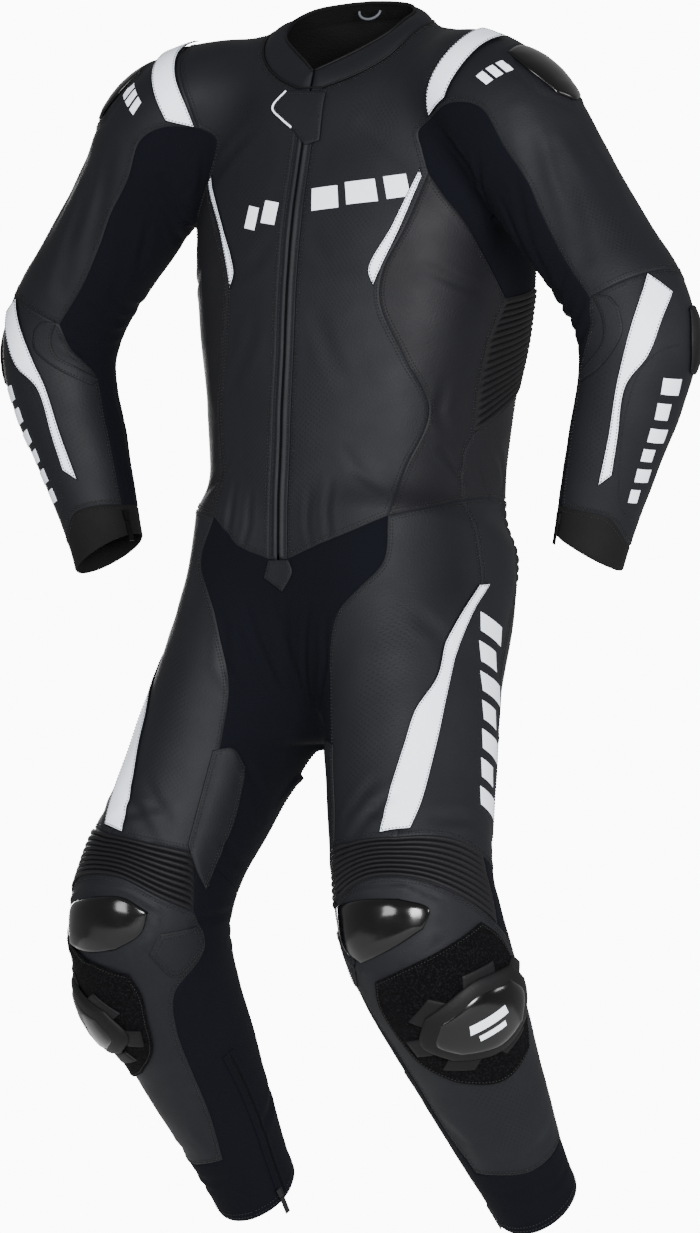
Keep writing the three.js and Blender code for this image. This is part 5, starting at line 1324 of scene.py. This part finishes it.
collar_parts, collar_rims = [], []
for h in halves:
    foot = joined(h.throat, h.neck_front, h.neck_back).copy()
    s = length_along(foot)
    top_edge = walk(smooth_curve(COLLAR_TOP, 120), s / s[-1]) * (h.side, 1, 1)
    foot[0, 0] = top_edge[0, 0]
    rear, throat_end = straight(foot[-1], top_edge[-1], 9), straight(top_edge[0], foot[0], 9)
    collar_rims.append(top_edge)
    collar_parts.append(patch([foot, rear, back(top_edge), throat_end], rows=8, free=True,
                              lift=lambda u, v: COLLAR_PADDING * np.sin(math.pi * np.clip(v, 0, 1))))
cloth("collar_band", "collar", collar_parts, [plain, lining], "leather", (0.44, 0.05, 0.0153), bottom=-2.4,
      rows=(), normals=collar_normals, follow=False)
rim = joined(collar_rims[0], back(collar_rims[1]))
piping("collar_rim_piping", rim[::2], 1.3, edge_shadow_and_piping)
necks = [joined(h.neck_front, h.neck_back) for h in halves]
collar_foot = joined(back(necks[0]), necks[1])[::2]
piping("collar_foot_piping", collar_foot + body_slope(collar_foot)[0] * 0.6, 1.1, edge_shadow_and_piping)
HANGER_PLACE, HANGER_HALF = np.array([0, 24, 38]), np.array([14, -3, -9])
bend = np.linspace(0, math.pi, 13)[:, None]
hanger = HANGER_PLACE + HANGER_HALF * np.hstack([np.cos(bend), np.sin(bend), np.sin(bend)])
# Cotton tape, woven: a dull grey that stands out in the dark neck.
grey_tape = leather("woven hanger tape, grey", "#5b5e64", "#4a4d52", 0.8)
piping("hanger_loop", hanger, 1.4, grey_tape)

# Zip sliders and pull tabs at the cuffs and calves: die-cast zinc, painted black and worn at the edges. Each
# tab hangs in its slider's loop. Their shapes are the CAD's own, which get only their finish here.
# Cast metal under thin paint: small hard glints that roughen with wear.
METAL_WEAR = 3.3333     # mm
metal, metal_tree, metal_shader = finish("zip metal, blackened", "#1c1c1e", 0.35, Metallic=0.8)
metal_place = add_node(metal_tree, "ShaderNodeTexCoord").outputs["Object"]
metal_wear = add_node(metal_tree, "ShaderNodeTexNoise", {"Vector": metal_place, "Detail": 4.0,
                                                         "Scale": per_metre(METAL_WEAR)})
metal_rough = add_node(metal_tree, "ShaderNodeMapRange", {"Value": metal_wear.outputs["Fac"], "To Min": 0.22,
                                                          "To Max": 0.5})
metal_tree.links.new(metal_rough.outputs["Result"], metal_shader.inputs["Roughness"])
for h in halves:
    for place in ("cuff", "ankle"):
        for part in ("slider", "tab"):
            for node in [o for o in bpy.data.objects if o.name.startswith(f"{place}_{part}_{h.name}")]:
                node.data.materials.clear()
                node.data.materials.append(metal)

# Sewing thread: black bonded nylon in single and double rows beside the seams and round the hem, the cuffs and
# the forearm padding. It is drawn twice as thick as the real 0.7 mm, so that it shows.
STITCH_PITCH, STITCH_LENGTH, THREAD = 3.6, 2.7, 1.4     # mm
STITCHES_A_PIECE = 9000
HEM_ROWS, CUFF_ROWS = (7.0, 14.0), (4.0, -4.0)          # mm from the edge
PADDING_LINE = ((501, 63), (504, 42), (514, 26), (530, 18), (574, 15), (614, 21), (650, 30), (668, 41),
                (680, 69))
# Nylon, twisted and bonded: black dashes with a faint gloss, in a row that catches the light unevenly.
NYLON_TWIST = 0.4   # mm
nylon, nylon_tree, nylon_shader = finish("bonded nylon thread, black", "#020203", 0.5, Specular_IOR_Level=0.3)
nylon_place = add_node(nylon_tree, "ShaderNodeTexCoord").outputs["Object"]
nylon_twist = add_node(nylon_tree, "ShaderNodeTexNoise", {"Vector": nylon_place,
                                                          "Scale": per_metre(NYLON_TWIST)})
nylon_bump = add_node(nylon_tree, "ShaderNodeBump", {"Height": nylon_twist.outputs["Fac"], "Distance": 0.0002})
nylon_tree.links.new(nylon_bump.outputs["Normal"], nylon_shader.inputs["Normal"])
for h in halves:
    rows = [onto_body(h.hem_edge + (0, 0, rise), 3) for rise in HEM_ROWS]
    rows += [beside(h.cuff_line, distance) for distance in CUFF_ROWS]
    rows.append(seam(on_chart(h.A, PADDING_LINE), 3.0))
    threads += [(row, 0.0) for row in rows]
places, ways, ups = [], [], []
for line, top in threads:
    total = length_along(line)[-1]
    marks = walk(line, (np.arange(int(total / STITCH_PITCH)) + 0.5) * STITCH_PITCH / total)
    if len(marks) > 2:
        marks = onto_body(marks, 2)
        up = body_slope(marks)[0]
        places.append(marks + up * (top + relief(marks) + 0.12)[:, None])
        ways.append(unit(np.gradient(marks, axis=0)))
        ups.append(up)
places, ways, ups = np.vstack(places), np.vstack(ways), np.vstack(ups)

sewing = bpy.data.node_groups.new("lay stitches", "GeometryNodeTree")
for label, kind in (("Geometry", "NodeSocketGeometry"), ("Stitch length", "NodeSocketFloat"),
                    ("Thread thickness", "NodeSocketFloat"), ("Thread", "NodeSocketMaterial")):
    sewing.interface.new_socket(label, in_out="INPUT", socket_type=kind)
sewing.interface.new_socket("Geometry", in_out="OUTPUT", socket_type="NodeSocketGeometry")
given = add_node(sewing, "NodeGroupInput").outputs
bead = add_node(sewing, "GeometryNodeMeshUVSphere", {"Segments": 5, "Rings": 3, "Radius": 0.5})
size = add_node(sewing, "ShaderNodeCombineXYZ", {"X": given["Stitch length"], "Y": given["Thread thickness"],
                                                 "Z": given["Thread thickness"]})
shaped = add_node(sewing, "GeometryNodeTransform", {"Geometry": bead.outputs["Mesh"], "Scale": size.outputs[0]})
along = add_node(sewing, "GeometryNodeInputNamedAttribute", {"Name": "along"}, data_type="FLOAT_VECTOR")
out = add_node(sewing, "GeometryNodeInputNamedAttribute", {"Name": "out"}, data_type="FLOAT_VECTOR")
turned = add_node(sewing, "FunctionNodeAlignRotationToVector", {"Vector": along.outputs[0]}, axis="X")
level = add_node(sewing, "FunctionNodeAlignRotationToVector", {"Rotation": turned.outputs[0],
                                                               "Vector": out.outputs[0]},
                 axis="Z", pivot_axis="X")
laid = add_node(sewing, "GeometryNodeInstanceOnPoints", {"Points": given["Geometry"],
                                                         "Instance": shaped.outputs["Geometry"],
                                                         "Rotation": level.outputs[0]})
real = add_node(sewing, "GeometryNodeRealizeInstances", {"Geometry": laid.outputs[0]})
coloured = add_node(sewing, "GeometryNodeSetMaterial", {"Geometry": real.outputs[0],
                                                        "Material": given["Thread"]})
add_node(sewing, "NodeGroupOutput", {"Geometry": coloured.outputs[0]})
sockets = {item.name: item.identifier for item in sewing.interface.items_tree if item.in_out == "INPUT"}
for part, start in enumerate(range(0, len(places), STITCHES_A_PIECE)):
    chosen = slice(start, start + STITCHES_A_PIECE)
    dots = bpy.data.meshes.new("thread places")
    dots.from_pydata((places[chosen] / 1000).tolist(), [], [])
    for label, values in (("along", ways), ("out", ups)):
        dots.attributes.new(label, "FLOAT_VECTOR", "POINT").data.foreach_set(
            "vector", values[chosen].astype(np.float32).ravel())
    carrier = bpy.data.objects.new("thread places", dots)
    bpy.context.scene.collection.objects.link(carrier)
    sewn = carrier.modifiers.new("stitches", "NODES")
    sewn.node_group = sewing
    sewn[sockets["Stitch length"]] = STITCH_LENGTH / 1000
    sewn[sockets["Thread thickness"]] = THREAD / 1000
    sewn[sockets["Thread"]] = nylon
    made = bpy.data.meshes.new_from_object(carrier.evaluated_get(bpy.context.evaluated_depsgraph_get()))
    bpy.data.objects.remove(carrier)
    made.name = f"stitching_{part + 1}"
    made.shade_smooth()
    stitching = bpy.data.objects.new(made.name, made)
    bpy.context.scene.collection.objects.link(stitching)
    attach(stitching, "suit")

# Photo studio: a pale floor below the suit, a white sky that lights it softly, four soft lamps, and a long lens
# level with its middle. Sizes are in metres here.
FLOOR_HALF, FLOOR_HEIGHT = 2, -1.6
floor_mesh = bpy.data.meshes.new("floor")
floor_corners = [(x * FLOOR_HALF, y * FLOOR_HALF, FLOOR_HEIGHT)
                 for x, y in ((-1, -1), (1, -1), (1, 1), (-1, 1))]
floor_mesh.from_pydata(floor_corners, [], [(0, 1, 2, 3)])
floor = bpy.data.objects.new("floor", floor_mesh)
bpy.context.scene.collection.objects.link(floor)
# Paper, uncoated: it spreads the light evenly and has no gloss.
floor_mesh.materials.append(finish("white paper", "#f2f2f2", 0.9)[0])
floor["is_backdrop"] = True
SKY_LIGHT, SKY_SEEN = 0.5, 11.0     # strength of the sky on the suit, and as the camera sees it
world = bpy.data.worlds.new("sky")
world.use_nodes = True
sky = world.node_tree.nodes["Background"]
sky.inputs["Color"].default_value = (1, 1, 1, 1)
seen = add_node(world.node_tree, "ShaderNodeLightPath").outputs["Is Camera Ray"]
strength = add_node(world.node_tree, "ShaderNodeMapRange", {"Value": seen, "To Min": SKY_LIGHT,
                                                            "To Max": SKY_SEEN})
world.node_tree.links.new(strength.outputs["Result"], sky.inputs["Strength"])
bpy.context.scene.world = world
VIEW_TURN, VIEW_DISTANCE = math.radians(36), 10
look = np.array([math.sin(VIEW_TURN), -math.cos(VIEW_TURN), 0])
side = np.array([math.cos(VIEW_TURN), math.sin(VIEW_TURN), 0])
target = np.array([-0.0061, -0.0044, -0.6172])      # the suit's middle


def aim(thing, place):
    """Puts a lamp or the camera at a place and points it at the suit."""
    thing.location = place
    thing.rotation_euler = (Vector(target) - Vector(place)).to_track_quat("-Z", "Y").to_euler()
    bpy.context.scene.collection.objects.link(thing)


# towards the camera, to its right, up, power in watts, width
LAMPS = {
    "key lamp": (5.0, 0.9, 0.9, 500, 1.5),
    "fill lamp": (3.2, -2.2, 0.5, 85, 1.2),
    "side lamp": (1.0, 3.2, 0.8, 40, 0.9),
    "rear lamp": (-3.6, -0.6, 0.3, 110, 1.6),
}
for name, (near, right_of, up, power, wide) in LAMPS.items():
    lamp = bpy.data.lights.new(name, "AREA")
    lamp.energy, lamp.size = power, wide
    aim(bpy.data.objects.new(name, lamp), target + look * near + side * right_of + (0, 0, up))
camera = bpy.data.cameras.new("camera")
camera.sensor_fit, camera.sensor_height, camera.lens = "VERTICAL", 36, 270.35
camera.clip_end = 40
view = bpy.data.objects.new("camera", camera)
aim(view, target + look * VIEW_DISTANCE)
bpy.context.scene.camera = view

{"cad": cad_box, "scene": [list(map(float, corner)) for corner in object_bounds()]}
